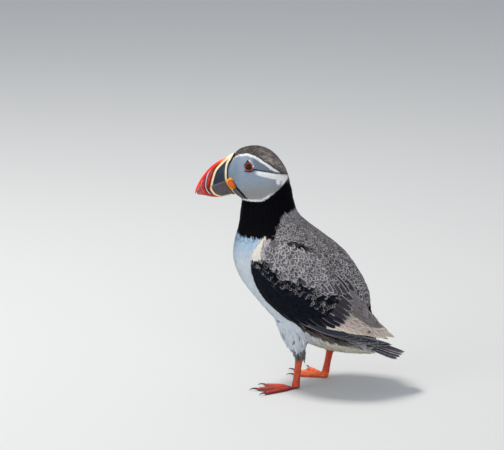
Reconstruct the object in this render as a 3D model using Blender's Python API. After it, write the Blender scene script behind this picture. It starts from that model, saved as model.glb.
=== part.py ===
"""An Atlantic puffin at life size, standing still, as a museum model.

The bird faces -X with its left side towards -Y. Lengths are metres, written as
millimetres times MM. The flesh is lofted whole from a few named girths, then
parted with thin cuts; bill, eyes, gape rosettes, wings, legs, feet and claws
are pieces of their own that meet it with a small gap.
"""

import math
from typing import NamedTuple

import bmesh
import bpy
from mathutils import Matrix, Vector

MM = 0.001
GAP = 0.3 * MM  # between pieces that touch

# Overall stance
HEAD_PIVOT = Vector((-33.3, 0, 196)) * MM  # middle of the skull
HEAD_TURN = math.radians(12)  # the head looks a little to its left
FOOT_SPREAD = 22 * MM  # each leg from the middle plane
FOOT_X = {"left": 0.5 * MM, "right": 17 * MM}  # the left foot stands ahead
FOOT_SPLAY = math.radians(27)  # toes turned outwards

# Loft resolution
BODY_RINGS, BODY_SIDES = 34, 26
HEAD_RINGS, HEAD_SIDES = 16, 24
BILL_RINGS, BILL_SIDES = 13, 12
LIMB_RINGS, LIMB_SIDES = 8, 10
TAIL_RINGS, TAIL_SIDES = 11, 18
WING_LENGTHWAYS, WING_ACROSS = 30, 8
FOOT_RINGS = 9
CLAW_RINGS, CLAW_SIDES = 5, 6
BALL_SIDES = 14


class Girth(NamedTuple):
    """One section of the body: where it meets breast and back, and its half width."""

    breast: tuple
    back: tuple
    half_width: float


# From the throat, inside the head, to the root of the tail. Millimetres.
BODY = {
    "in_head": Girth((-50, 190), (-18, 196), 11),
    "throat": Girth((-54.8, 180), (-10.8, 186), 16),
    "upper_neck": Girth((-57.5, 164), (-8.5, 174), 19.5),
    "collar": Girth((-59, 149), (-3, 158.5), 24),
    "shoulder": Girth((-63, 134), (15.5, 144), 32.5),
    "breast": Girth((-64, 117), (37, 128.5), 38.5),
    "chest": Girth((-57, 99), (53, 108), 41),
    "waist": Girth((-44, 83), (62.5, 89), 41),
    "belly": Girth((-29, 67), (64, 76), 38.5),
    "loin": Girth((-10, 50), (66, 66), 33.5),
    "vent": Girth((12, 39), (69.5, 58), 26),
    "rump": Girth((33, 34), (75, 50.5), 18.5),
    "tail_root": Girth((52, 33), (81, 44.5), 12.5),
    "tail_coverts": Girth((66, 34), (85, 39.5), 8.5),
}
BODY_SQUARENESS = 2.15  # 2 is an ellipse


class HeadGirth(NamedTuple):
    """One upright section of the head, in its own frame: how far back, top, chin, half width."""

    x: float
    top: float
    chin: float
    half_width: float


# From the face, inside the root of the bill, to the back of the skull. Millimetres.
HEAD = {
    "face": HeadGirth(-34.6, 5.5, -2.5, 2.2),
    "gape": HeadGirth(-32.6, 13, -10.5, 7.4),
    "forehead": HeadGirth(-29, 19.4, -18.6, 11.2),
    "brow": HeadGirth(-24, 23.6, -22.4, 14.2),
    "eye": HeadGirth(-16, 26.0, -25.4, 16.8),
    "crown": HeadGirth(-6, 26, -28, 18.4),
    "cheek": HeadGirth(4, 21.8, -29, 18.4),
    "ear": HeadGirth(12, 13.8, -27, 16.2),
    "occiput": HeadGirth(18, 4, -21, 11.4),
    "nape": HeadGirth(21.2, -6, -13.5, 4.4),
}
HEAD_SQUARENESS = 2.25
CHEEK_FULLNESS = 0.13  # how much wider the head is low down than high up

# The bill, in the head's frame: (x, z) on the mouth line, (x, z) on the ridge, half thickness.
UPPER_BILL = {
    "buried": ((-27, -2.2), (-25.5, 20.2), 8.2),
    "root": ((-33.5, -4.6), (-31.8, 18.2), 7.7),
    "knob": ((-38.3, -6.5), (-37.2, 14.9), 7.1),
    "shield": ((-43.2, -8.4), (-42.0, 12.6), 6.4),
    "groove": ((-51.8, -11.9), (-51.0, 6.2), 5.0),
    "blade": ((-58.8, -14.8), (-59.0, -3.2), 3.6),
    "hook": ((-63.6, -17.2), (-64.3, -12.4), 2.3),
    "tip": ((-65.4, -19.6), (-66.1, -18.2), 0.8),
}
LOWER_BILL = {
    "buried": ((-27, -2.2), (-25.5, -18.6), 7.6),
    "root": ((-33.5, -4.6), (-32.4, -20.1), 7.2),
    "shield": ((-43.2, -8.4), (-42, -22.3), 6.0),
    "groove": ((-51.8, -11.9), (-50.4, -22.2), 4.6),
    "blade": ((-58.8, -14.8), (-57.8, -20.8), 3.2),
    "tip": ((-63.4, -17.2), (-63.2, -19.2), 1.3),
}
BILL_ROUNDNESS = 2.6  # how square-shouldered the bill is in section
BILL_SHARPNESS = 1.5  # how fast its sides close towards the ridge

# Eyes and gape rosettes, in the head's frame
EYE_AT = Vector((-16.2, 0, 8.4)) * MM
EYE_RADIUS = 4.7 * MM
EYE_OUT = 12.6 * MM  # eye's centre from the head's middle plane
ROSETTE_AT = Vector((-30.4, 0, -8.0)) * MM
ROSETTE_HALF = Vector((3.0, 2.4, 6.0)) * MM
ROSETTE_LEAN = math.radians(33)
ROSETTE_OUT = 7.9 * MM


class WingGirth(NamedTuple):
    """One crossing of the folded wing: body station, lower and upper edge round the body, thickness."""

    station: float
    low: float
    high: float
    thick: float


# Angles in degrees from the middle of the back; stations count along BODY. Thickness in mm.
WING = {
    "bend": WingGirth(3.75, 95, 66, 1.6),
    "wrist": WingGirth(4.15, 107, 56, 3.4),
    "forearm": WingGirth(5, 119, 47, 5.0),
    "coverts": WingGirth(6, 125, 42, 5.6),
    "middle": WingGirth(7, 127, 40, 5.6),
    "secondaries": WingGirth(8, 115, 39, 5.2),
    "primaries": WingGirth(9, 94, 37, 4.6),
    "blade": WingGirth(10, 80, 32, 4.0),
    "outer_blade": WingGirth(11, 69, 27, 3.4),
    "tips": WingGirth(12.2, 55, 26, 2.8),
    "tip": WingGirth(13.1, 44, 30, 1.8),
}
WING_EDGE = 0.9 * MM  # thickness left at the wing's edges
WING_REST = 0.6 * MM  # from the smooth flank to the wing, clear of both their facets
WING_TIP_LIFT = 6.5 * MM  # the blade stands off the rump and tail by this much
WING_LIFTS_FROM, WING_LIFTS_OVER, WING_LIFT_POWER = 8.5, 5, 1.3  # where the blade begins to stand off
WING_CROWN_POWER = 2.6  # how flat the wing is across
WING_ROOT_EASE, WING_TIP_EASE, WING_EASE_POWER = 6, 4, 0.5  # how fast it thins towards its two ends
WING_BEYOND = Vector((8.5, 0, -1.5)) * MM  # one station's step past the end of the body

# Tail fan: (x, z) of its middle line, half thickness, half width. Millimetres.
TAIL = {
    "buried": ((58, 44), 3.2, 7.5),
    "coverts": ((70, 39.8), 2.9, 10.5),
    "fan": ((82, 36.4), 2.1, 13.0),
    "points": ((92, 33.8), 1.4, 12.4),
    "end": ((98, 32.2), 0.6, 6.5),
}
TAIL_SQUARENESS = 2.2
TAIL_ARCH = 0.18  # how far the middle stands over the sides, by its half width

# Feathered thigh and bare shank: (x, z) of the middle line, half depth, half width. Millimetres.
THIGH = {
    "hip": ((-2, 64), 19, 13.5),
    "knee": ((-1.5, 52), 15, 11.2),
    "drumstick": ((0, 42), 10, 8.2),
    "cuff": ((2.6, 34.5), 6.2, 5.4),
    "hem": ((3.4, 31), 4.9, 3.9),
}
THIGH_INWARD = 3.5 * MM  # the hip lies this much nearer the middle than the foot
SHANK = {
    "hock": ((3.6, 38), 4.2, 2.9),
    "upper": ((3.0, 30), 4.0, 2.8),
    "middle": ((1.8, 20), 3.3, 2.4),
    "lower": ((0.8, 11), 3.5, 2.5),
    "ankle": ((0, 6.8), 4.0, 2.9),
}
SHANK_LEAN = {"left": 0.0, "right": 0.09}  # the hind leg slopes back as it rises

# Feet
ANKLE_TOP = 6.5 * MM
TOES = {"inner": (29, 30), "middle": (2, 37), "outer": (-25, 36)}  # turn in degrees, mm long
TOE_RADIUS = (2.7 * MM, 1.7 * MM)  # root and tip
TOE_START = 0.05  # the toes begin inside the ankle, at this share of their length
TOE_CROWDING = 0.17  # near the ankle they narrow to this share of the distance from it
KNUCKLE = 0.16  # how much each joint swells
KNUCKLES = 3  # swellings along a toe
TOE_SECTION = ((-1, 0.7), (-0.6, 1.45), (0, 1.8), (0.6, 1.45), (1, 0.7))  # across and up, by its half width
TOE_ROOT_RISE = 1.4 * MM  # how much higher the toes are where they leave the ankle
TOE_ROOT_POWER, WEB_CURVE_POWER = 4, 3
ANKLE_RINGS = ((0.6, 0.78), (2.2, 1.0), (4.4, 1.04), (ANKLE_TOP / MM, 1.0))  # height in mm, swelling
WEB_THICK = 1.5 * MM
WEB_HOLLOW = 0.18  # how far the web's front edge curves back
CLAW_LENGTH = 6.5 * MM
CLAW_RADIUS = 1.25 * MM
CLAW_DROOP = math.radians(24)
CLAW_TAPER = 0.86  # how much thinner the point is than the root
CLAW_FLATNESS = 0.8  # its width by its height
CLAW_REST = 1.35  # height of its root's middle, by its radius
CLAW_ARCH, CLAW_FALL = 0.16, 0.14  # rise of its middle and drop of its point, by its length
CLAW_CLEARANCE = 1.05  # it stays this far over the floor, by its radius

# Where the flesh is parted: middle of the cut, its normal, half size. Millimetres.
CUTS = {
    "head_neck": ((-31, 0, 172), (-0.18, 0, 1), 45),
    "neck_trunk": ((-27, 0, 146), (-0.12, 0, 1), 60),
    "trunk_tail": ((64, 0, 40), (1, 0, -0.38), 32),
}
NODE_SPOTS = {  # a point deep inside each piece of flesh
    "head": (-33, 0, 195),
    "neck": (-31, 0, 160),
    "trunk": (5, 0, 100),
    "tail": (84, 0, 36),
}

COLOURS = {  # red, green, blue, roughness, metallic
    "plumage_black": (0.012, 0.012, 0.015, 0.7, 0.0),
    "plumage_white": (0.82, 0.83, 0.84, 0.8, 0.0),
    "plumage_face": (0.62, 0.65, 0.69, 0.8, 0.0),
    "bill_horn": (0.72, 0.06, 0.02, 0.4, 0.0),
    "rosette_skin": (0.95, 0.35, 0.02, 0.5, 0.0),
    "leg_skin": (0.80, 0.13, 0.02, 0.5, 0.0),
    "claw_horn": (0.02, 0.02, 0.02, 0.35, 0.0),
    "eye_glass": (0.03, 0.015, 0.01, 0.08, 0.0),
}


def clear_scene():
    """Removes what the scene starts with."""
    for obj in list(bpy.data.objects):
        bpy.data.objects.remove(obj)


def material(name):
    """The Principled material of one finish."""
    made = bpy.data.materials.get(name) or bpy.data.materials.new(name)
    red, green, blue, roughness, metallic = COLOURS[name]
    made.use_nodes = True
    shader = made.node_tree.nodes["Principled BSDF"]
    shader.inputs["Base Color"].default_value = (red, green, blue, 1)
    shader.inputs["Roughness"].default_value = roughness
    shader.inputs["Metallic"].default_value = metallic
    return made


def new_object(name, bm, finish="plumage_black"):
    """An object holding what the bmesh holds, faces out and shaded smooth."""
    bmesh.ops.recalc_face_normals(bm, faces=bm.faces)
    mesh = bpy.data.meshes.new(name)
    bm.to_mesh(mesh)
    bm.free()
    mesh.shade_smooth()
    mesh.materials.append(material(finish))
    obj = bpy.data.objects.new(name, mesh)
    bpy.context.scene.collection.objects.link(obj)
    return obj


def helper(obj):
    """Marks an object as a cutter or guide, which isn't part of the bird."""
    obj.hide_render = True
    obj.display_type = "WIRE"
    return obj


def smooth_between(rows, position):
    """The row at a fractional position along rows of numbers, on a Catmull-Rom curve."""
    last = len(rows) - 1
    index = min(int(position), last - 1)
    share = position - index
    before, here = rows[max(index - 1, 0)], rows[index]
    there, after = rows[index + 1], rows[min(index + 2, last)]
    return [
        b + 0.5 * share * (c - a + share * (2 * a - 5 * b + 4 * c - d + share * (3 * (b - c) + d - a)))
        for a, b, c, d in zip(before, here, there, after)
    ]


def flat_rows(table):
    """The table's rows as flat lists of numbers, so that they can be mixed."""
    rows = []
    for row in table.values():
        flat = []
        for value in row:
            flat.extend(value if isinstance(value, tuple) else (value,))
        rows.append(flat)
    return rows


def even_steps(rows, count):
    """Count positions from the first row to the last."""
    return [(len(rows) - 1) * i / (count - 1) for i in range(count)]


def rounded(angle, squareness):
    """Cosine and sine of a superellipse."""
    power = 2 / squareness
    cosine, sine = math.cos(angle), math.sin(angle)
    return (
        math.copysign(abs(cosine) ** power, cosine),
        math.copysign(abs(sine) ** power, sine),
    )


def loft(name, rings, finish="plumage_black"):
    """A closed solid through rings of points, all of one count."""
    bm = bmesh.new()
    loops = []
    for ring in rings:
        verts = bmesh.ops.create_circle(bm, segments=len(ring), radius=MM)["verts"]
        for vert, point in zip(verts, ring):
            vert.co = point
        loops.append(set(verts))
    edges = [[edge for edge in bm.edges if edge.verts[0] in loop] for loop in loops]
    for first, second in zip(edges, edges[1:]):
        bmesh.ops.bridge_loops(bm, edges=first + second)
    bmesh.ops.holes_fill(bm, edges=edges[0] + edges[-1], sides=0)
    return new_object(name, bm, finish)


def body_point(rows, station, angle, out=0.0):
    """A point on the body at a station and an angle from the back (positive to the left), moved out."""

    def at(where, turn):
        front_x, front_z, back_x, back_z, half_width = smooth_between(rows, where)
        up, side = rounded(turn, BODY_SQUARENESS)
        middle = Vector(((front_x + back_x) / 2, 0, (front_z + back_z) / 2))
        back = Vector(((back_x - front_x) / 2, 0, (back_z - front_z) / 2))
        return (middle + back * up + Vector((0, -half_width * side, 0))) * MM

    point = at(station, angle)
    if not out:
        return point
    step = 0.02
    low, high = max(station - step, 0), min(station + step, len(rows) - 1)
    along = at(high, angle) - at(low, angle)
    across = at(station, angle + step) - at(station, angle - step)
    return point + across.cross(along).normalized() * out


def body():
    """Neck, trunk and tail root in one."""
    rows = flat_rows(BODY)
    rings = []
    for station in even_steps(rows, BODY_RINGS):
        turns = [2 * math.pi * i / BODY_SIDES for i in range(BODY_SIDES)]
        rings.append([body_point(rows, station, turn) for turn in turns])
    return loft("body", rings)


def head_matrix():
    """From the head's own frame to the bird's."""
    return Matrix.Translation(HEAD_PIVOT) @ Matrix.Rotation(HEAD_TURN, 4, "Z")


def skull():
    """The head, without bill, eyes and rosettes, in its own frame."""
    rows = flat_rows(HEAD)
    rings = []
    for station in even_steps(rows, HEAD_RINGS):
        x, top, chin, half_width = smooth_between(rows, station)
        ring = []
        for i in range(HEAD_SIDES):
            up, side = rounded(2 * math.pi * i / HEAD_SIDES, HEAD_SQUARENESS)
            y = -half_width * side * (1 - CHEEK_FULLNESS * up)
            ring.append(Vector((x, y, (top + chin) / 2 + (top - chin) / 2 * up)) * MM)
        rings.append(ring)
    obj = loft("skull", rings, "plumage_face")
    obj.data.transform(head_matrix())
    return obj


def bill_half(name, table):
    """One half of the bill: flat along the mouth line, its sides closing towards its ridge."""
    rows = flat_rows(table)
    away = 1 if rows[0][3] > rows[0][1] else -1
    rings = []
    for station in even_steps(rows, BILL_RINGS):
        mouth_x, mouth_z, ridge_x, ridge_z, half = smooth_between(rows, station)
        mouth = Vector((mouth_x, 0, mouth_z)) * MM + Vector((0, 0, away * GAP / 2))
        rise = Vector((ridge_x, 0, ridge_z)) * MM - mouth
        ring = []
        for i in range(BILL_SIDES + 1):
            swing = math.pi * i / BILL_SIDES - math.pi / 2
            height = abs(math.cos(swing)) ** (2 / BILL_ROUNDNESS)
            side = math.copysign(abs(math.sin(swing)) ** BILL_SHARPNESS, swing)
            ring.append(mouth + rise * height + Vector((0, half * MM * side, 0)))
        rings.append(ring)
    obj = loft(name, rings, "bill_horn")
    obj.data.transform(head_matrix())
    return obj


def ball(name, centre, half_sizes, lean, finish, segments):
    """An ellipsoid in the head's frame, leant about the sideways axis."""
    bm = bmesh.new()
    bmesh.ops.create_uvsphere(bm, u_segments=segments, v_segments=segments * 2 // 3, radius=1)
    place = Matrix.Translation(centre) @ Matrix.Rotation(lean, 4, "Y") @ Matrix.Diagonal((*half_sizes, 1))
    bmesh.ops.transform(bm, matrix=head_matrix() @ place, verts=bm.verts)
    return new_object(name, bm, finish)


def eye(side, sign):
    """One eyeball, a full ball with most of it in the head."""
    centre = EYE_AT + Vector((0, sign * EYE_OUT, 0))
    return ball(f"eye_{side}", centre, (EYE_RADIUS,) * 3, 0, "eye_glass", BALL_SIDES)


def rosette(side, sign):
    """The yellow fold of skin at one corner of the mouth."""
    centre = ROSETTE_AT + Vector((0, sign * ROSETTE_OUT, 0))
    return ball(f"rosette_{side}", centre, tuple(ROSETTE_HALF), -ROSETTE_LEAN, "rosette_skin", BALL_SIDES)


def shell(name, outer, inner, finish="plumage_black"):
    """A closed solid between two grids of points that share their borders' order."""
    bm = bmesh.new()
    rows, columns = len(outer), len(outer[0])
    top = [[bm.verts.new(point) for point in row] for row in outer]
    under = [[bm.verts.new(point) for point in row] for row in inner]
    for i in range(rows - 1):
        for k in range(columns - 1):
            bm.faces.new((top[i][k], top[i][k + 1], top[i + 1][k + 1], top[i + 1][k]))
            bm.faces.new((under[i][k], under[i + 1][k], under[i + 1][k + 1], under[i][k + 1]))
    border = [(0, k) for k in range(columns - 1)]
    border += [(i, columns - 1) for i in range(rows - 1)]
    border += [(rows - 1, k) for k in range(columns - 1, 0, -1)]
    border += [(i, 0) for i in range(rows - 1, 0, -1)]
    for (i, k), (j, m) in zip(border, border[1:] + border[:1]):
        bm.faces.new((top[j][m], top[i][k], under[i][k], under[j][m]))
    return new_object(name, bm, finish)


def wing(side, sign):
    """One folded wing, a shell that wraps the flank and runs out over the tail."""
    rows, crossings = flat_rows(BODY), flat_rows(WING)
    last = len(rows) - 1
    outer, inner = [], []
    for step in range(WING_LENGTHWAYS):
        along = step / (WING_LENGTHWAYS - 1)
        station, low, high, thick = smooth_between(crossings, along * (len(crossings) - 1))
        off = max(0.0, (station - WING_LIFTS_FROM) / WING_LIFTS_OVER)
        lift = WING_REST + WING_TIP_LIFT * off ** WING_LIFT_POWER
        beyond = WING_BEYOND * max(0.0, station - last)
        ends = min(1.0, WING_ROOT_EASE * along, WING_TIP_EASE * (1 - along)) ** WING_EASE_POWER
        outer.append([])
        inner.append([])
        for k in range(WING_ACROSS):
            across = k / (WING_ACROSS - 1)
            angle = -sign * math.radians(low + (high - low) * across)
            crown = 1 - abs(2 * across - 1) ** WING_CROWN_POWER
            depth = WING_EDGE + (thick * MM - WING_EDGE) * crown * ends
            inner[-1].append(body_point(rows, min(station, last), angle, lift) + beyond)
            outer[-1].append(body_point(rows, min(station, last), angle, lift + depth) + beyond)
    return shell(f"wing_{side}", outer, inner)


def tail_fan():
    """The fan of tail feathers, gently arched across."""
    rows = flat_rows(TAIL)
    rings = []
    for station in even_steps(rows, TAIL_RINGS):
        x, z, half_thick, half_width = smooth_between(rows, station)
        ring = []
        for i in range(TAIL_SIDES):
            up, side = rounded(2 * math.pi * i / TAIL_SIDES, TAIL_SQUARENESS)
            arch = TAIL_ARCH * (0.5 - side * side) * half_width
            ring.append(Vector((x, -half_width * side, z + half_thick * up + arch)) * MM)
        rings.append(ring)
    return loft("tail_fan", rings)


def upright_limb(name, table, side, sign, inward, finish):
    """A limb of level sections down to one foot."""
    rows = flat_rows(table)
    highest, lowest = rows[0][1], rows[-1][1]
    rings = []
    for station in even_steps(rows, LIMB_RINGS):
        x, z, half_depth, half_width = smooth_between(rows, station)
        share = (z - lowest) / (highest - lowest)
        lean = SHANK_LEAN[side] * z * MM
        middle = Vector((FOOT_X[side] + x * MM + lean, sign * (FOOT_SPREAD - inward * share), z * MM))
        ring = []
        for i in range(LIMB_SIDES):
            turn = 2 * math.pi * i / LIMB_SIDES
            ring.append(middle + Vector((half_depth * math.cos(turn), half_width * math.sin(turn), 0)) * MM)
        rings.append(ring)
    return loft(name, rings, finish)


def toe_direction(sign, turn):
    """Unit vector of a toe, turned inwards by degrees from the foot's own splay."""
    heading = FOOT_SPLAY - math.radians(turn)
    return Vector((-math.cos(heading), sign * math.sin(heading), 0))


def toe_radius(share):
    """Half width of a toe at a share of its length, swelling at its joints."""
    root, tip = TOE_RADIUS
    swell = 1 + KNUCKLE * math.cos(share * 2 * KNUCKLES * math.pi) * (1 - share)
    return (root + (tip - root) * share) * swell


def foot_plate(side, sign):
    """Three toes and the webs between them, level underneath."""
    outer, inner = [], []
    for step in range(FOOT_RINGS):
        share = TOE_START + (1 - TOE_START) * step / (FOOT_RINGS - 1)
        points = []
        for turn, length in TOES.values():
            half = min(toe_radius(share), TOE_CROWDING * length * MM * share)
            ahead = toe_direction(sign, turn)
            sideways = Vector((ahead.y, -ahead.x, 0)) * sign
            middle = ahead * (length * MM * share)
            if points:
                last, gap = points[-1][0], middle - sideways * half
                web = (last + gap) / 2 * (1 - WEB_HOLLOW * share ** WEB_CURVE_POWER)
                points.append((web, WEB_THICK))
            fuller = TOE_ROOT_RISE * (1 - share) ** TOE_ROOT_POWER
            for place, height in TOE_SECTION:
                points.append((middle + sideways * (half * place), half * height + fuller))
        outer.append([point + Vector((0, 0, height)) for point, height in points])
        inner.append([point for point, _ in points])
    return shell(f"foot_{side}", outer, inner, "leg_skin")


def ankle(name):
    """The block that carries the shank, over the toes' root."""
    x, _, half_depth, half_width = flat_rows(SHANK)[-1]
    rings = []
    for height, swell in ANKLE_RINGS:
        ring = []
        for i in range(LIMB_SIDES):
            turn = 2 * math.pi * i / LIMB_SIDES
            ahead, aside = half_depth * swell * math.cos(turn), half_width * swell * math.sin(turn)
            ring.append(Vector((x + ahead, aside, height)) * MM)
        rings.append(ring)
    return loft(name, rings, "leg_skin")


def foot(side, sign):
    """One webbed foot: three toes, two webs and the ankle, flat underneath."""
    whole = foot_plate(side, sign)
    combine(whole, helper(ankle(f"ankle_{side}")), "UNION")
    whole.data.transform(Matrix.Translation((FOOT_X[side], sign * FOOT_SPREAD, 0)))
    return whole


def claw(name, side, sign, turn, length):
    """One curved claw at the end of a toe."""
    ahead = toe_direction(sign, turn)
    sideways = Vector((-ahead.y, ahead.x, 0))
    start = Vector((FOOT_X[side], sign * FOOT_SPREAD, 0)) + ahead * (length * MM + GAP)
    rings = []
    for i in range(CLAW_RINGS):
        share = i / (CLAW_RINGS - 1)
        radius = CLAW_RADIUS * (1 - CLAW_TAPER * share)
        swing = CLAW_DROOP * share * 2
        arch = CLAW_ARCH * math.sin(math.pi * share) - CLAW_FALL * share
        rise = CLAW_RADIUS * CLAW_REST + CLAW_LENGTH * arch
        middle = start + ahead * (CLAW_LENGTH * math.sin(swing) / math.sin(2 * CLAW_DROOP))
        middle += Vector((0, 0, max(rise, radius * CLAW_CLEARANCE)))
        up = Vector((0, 0, 1)) * math.cos(swing) + ahead * math.sin(swing)
        ring = []
        for k in range(CLAW_SIDES):
            angle = 2 * math.pi * k / CLAW_SIDES
            across = sideways * (radius * CLAW_FLATNESS * math.cos(angle))
            ring.append(middle + across + up * (radius * math.sin(angle)))
        rings.append(ring)
    return loft(name, rings, "claw_horn")


def combine(target, other, operation):
    """Applies an exact Boolean of another object to the target."""
    modifier = target.modifiers.new(operation.title(), "BOOLEAN")
    modifier.operation = operation
    modifier.solver = "EXACT"
    modifier.object = other
    bpy.context.view_layer.update()
    graph = bpy.context.evaluated_depsgraph_get()
    mesh = bpy.data.meshes.new_from_object(target.evaluated_get(graph))
    target.modifiers.clear()
    target.data = mesh


def grown(obj, by=GAP):
    """A cutter: a copy of an object with its surface moved out."""
    copy = obj.copy()
    copy.data = obj.data.copy()
    bpy.context.scene.collection.objects.link(copy)
    for vert in obj.data.vertices:
        copy.data.vertices[vert.index].co = vert.co + vert.normal * by
    return helper(copy)


def slab(name, centre, normal, half_size):
    """A cutter: a square plate GAP thick."""
    bm = bmesh.new()
    bmesh.ops.create_cube(bm, size=1)
    turn = Vector(normal).normalized().to_track_quat("Z", "Y").to_matrix().to_4x4()
    size = Matrix.Diagonal((2 * half_size, 2 * half_size, GAP, 1))
    bmesh.ops.transform(bm, matrix=Matrix.Translation(centre) @ turn @ size, verts=bm.verts)
    return helper(new_object(name, bm))


def split_flesh(flesh, spots):
    """Names each loose body of the flesh after the spot it lies nearest to."""
    bm = bmesh.new()
    bm.from_mesh(flesh.data)
    bm.faces.ensure_lookup_table()
    left = set(bm.faces)
    groups = []
    while left:
        group, edge_of = set(), [left.pop()]
        while edge_of:
            face = edge_of.pop()
            group.add(face)
            for edge in face.edges:
                for near in edge.link_faces:
                    if near in left:
                        left.discard(near)
                        edge_of.append(near)
        groups.append({face.index for face in group})
    bm.free()
    for group in groups:
        part = bmesh.new()
        part.from_mesh(flesh.data)
        part.faces.ensure_lookup_table()
        bmesh.ops.delete(part, geom=[f for f in part.faces if f.index not in group], context="FACES")
        corners = [v.co for v in part.verts]
        centre = sum(corners, Vector()) / len(corners)
        name = min(spots, key=lambda spot: (Vector(spots[spot]) * MM - centre).length)
        finish = "plumage_face" if name == "head" else "plumage_black"
        new_object(name, part, finish)
    bpy.data.objects.remove(flesh)


def main():
    """Builds every node."""
    clear_scene()
    sides = {"left": -1, "right": 1}
    flesh, head = body(), skull()
    upper, lower = bill_half("bill_upper", UPPER_BILL), bill_half("bill_lower", LOWER_BILL)
    for half in (upper, lower):
        combine(half, grown(head), "DIFFERENCE")
    combine(flesh, helper(head), "UNION")
    combine(flesh, helper(tail_fan()), "UNION")
    for side, sign in sides.items():
        ball_of_eye, fold = eye(side, sign), rosette(side, sign)
        combine(flesh, grown(ball_of_eye), "DIFFERENCE")
        for piece in (upper, lower, flesh):
            combine(piece, grown(fold), "DIFFERENCE")
        thigh = upright_limb(f"thigh_{side}", THIGH, side, sign, THIGH_INWARD, "plumage_white")
        shank = upright_limb(f"leg_{side}", SHANK, side, sign, 0, "leg_skin")
        combine(thigh, grown(flesh), "DIFFERENCE")
        combine(thigh, grown(shank), "DIFFERENCE")
        foot(side, sign)
        for name, (turn, length) in TOES.items():
            claw(f"claw_{name}_{side}", side, sign, turn, length)
        wing(side, sign)
    for name, (centre, normal, half) in CUTS.items():
        combine(flesh, slab(name, Vector(centre) * MM, normal, half * MM), "DIFFERENCE")
    split_flesh(flesh, NODE_SPOTS)


main()
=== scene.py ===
"""Looks of a standing Atlantic puffin: skin, feathers, bill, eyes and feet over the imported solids.

The bird faces -X, its left side is towards -Y and it stands on z = 0. Helpers work in
millimetres and turn to metres where a mesh is made.
"""

import logging  # noqa: E402
import math  # noqa: E402
from dataclasses import dataclass, field  # noqa: E402
from enum import Enum  # noqa: E402
from typing import Callable, NamedTuple, Sequence  # noqa: E402

import bmesh  # noqa: E402
import bpy  # noqa: E402
import numpy as np  # noqa: E402
from mathutils import Matrix, Vector  # noqa: E402
from mathutils.bvhtree import BVHTree  # noqa: E402


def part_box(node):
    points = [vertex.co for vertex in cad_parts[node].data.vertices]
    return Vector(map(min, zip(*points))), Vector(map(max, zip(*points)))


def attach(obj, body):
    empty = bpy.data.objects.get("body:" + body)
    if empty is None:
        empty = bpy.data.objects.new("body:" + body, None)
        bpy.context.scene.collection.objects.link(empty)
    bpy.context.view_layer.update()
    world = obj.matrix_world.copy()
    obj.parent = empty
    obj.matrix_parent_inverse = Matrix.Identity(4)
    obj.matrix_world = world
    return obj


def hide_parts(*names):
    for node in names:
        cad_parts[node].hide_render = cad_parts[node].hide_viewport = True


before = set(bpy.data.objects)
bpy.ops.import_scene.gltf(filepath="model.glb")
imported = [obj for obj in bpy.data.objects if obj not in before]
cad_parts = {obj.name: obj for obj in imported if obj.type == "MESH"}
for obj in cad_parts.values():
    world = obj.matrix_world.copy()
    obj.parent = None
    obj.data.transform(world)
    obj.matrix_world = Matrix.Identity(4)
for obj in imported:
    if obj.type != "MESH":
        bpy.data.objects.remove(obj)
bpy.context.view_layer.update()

LOG = logging.getLogger("puffin")
MM = 0.001
SEED = 1729
FLESH = ("head", "neck", "trunk", "tail", "thigh_left", "thigh_right", "wing_left", "wing_right")
SIDES = {"left": -1.0, "right": 1.0}
Array = np.ndarray
MeshData = bpy.types.Mesh
Object = bpy.types.Object
Material = bpy.types.Material
Socket = bpy.types.NodeSocket
BMesh = bmesh.types.BMesh
Colour = tuple[float, float, float]
Place = tuple[float, float, float]


# ---------------------------------------------------------------- small maths


def linear(red: float, green: float, blue: float) -> Colour:
    """The scene-linear colour of screen values from 0 to 255."""
    shares = [v / 255 for v in (red, green, blue)]
    return tuple(((v + 0.055) / 1.055) ** 2.4 if v > 0.04 else v / 12.92 for v in shares)


def smoothstep(low: float, high: float, value: Array) -> Array:
    """0 below low, 1 above high, smooth between."""
    share = np.clip((np.asarray(value, float) - low) / (high - low), 0, 1)
    return share * share * (3 - 2 * share)


def hump(value: Array, centre: float, width: float) -> Array:
    """1 at a centre, falling away smoothly over a width on both sides."""
    return np.exp(-(((value - centre) / width) ** 2))


def unit(vectors: Array) -> Array:
    """Rows scaled to length one."""
    return vectors / np.maximum(np.linalg.norm(vectors, axis=-1, keepdims=True), 1e-9)


def mixed(first: Array, second: Sequence[float], share: Array) -> Array:
    """Rows of first blended towards one colour by a share for each row."""
    share = np.asarray(share)[:, None]
    return first * (1 - share) + np.asarray(second)[None, :] * share


def bump_noise(points: Array, size: float, seed: int = 0) -> Array:
    """Smooth noise from -1 to 1 with features about size millimetres across.

    Args:
        points: places in millimetres, one row each.
        size: the width of one feature.
        seed: picks one of many patterns.

    Returns:
        One value for each row.
    """
    draw = np.random.default_rng(seed)
    total = np.zeros(len(points))
    for _ in range(6):
        wave = unit(draw.normal(size=(1, 3)))[0] * (2 * math.pi / size) * draw.uniform(0.5, 1.1)
        bend = 1.3 * np.sin(points @ wave[[1, 2, 0]] * 0.7)
        total += np.sin(points @ wave + draw.uniform(0, 2 * math.pi) + bend)
    return total / 4.2


# ---------------------------------------------------------------- the bird's own measures


class Girth(NamedTuple):
    """One section of the body: where it meets breast and back (x, z), and its half width."""

    breast: tuple[float, float]
    back: tuple[float, float]
    half_width: float


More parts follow.
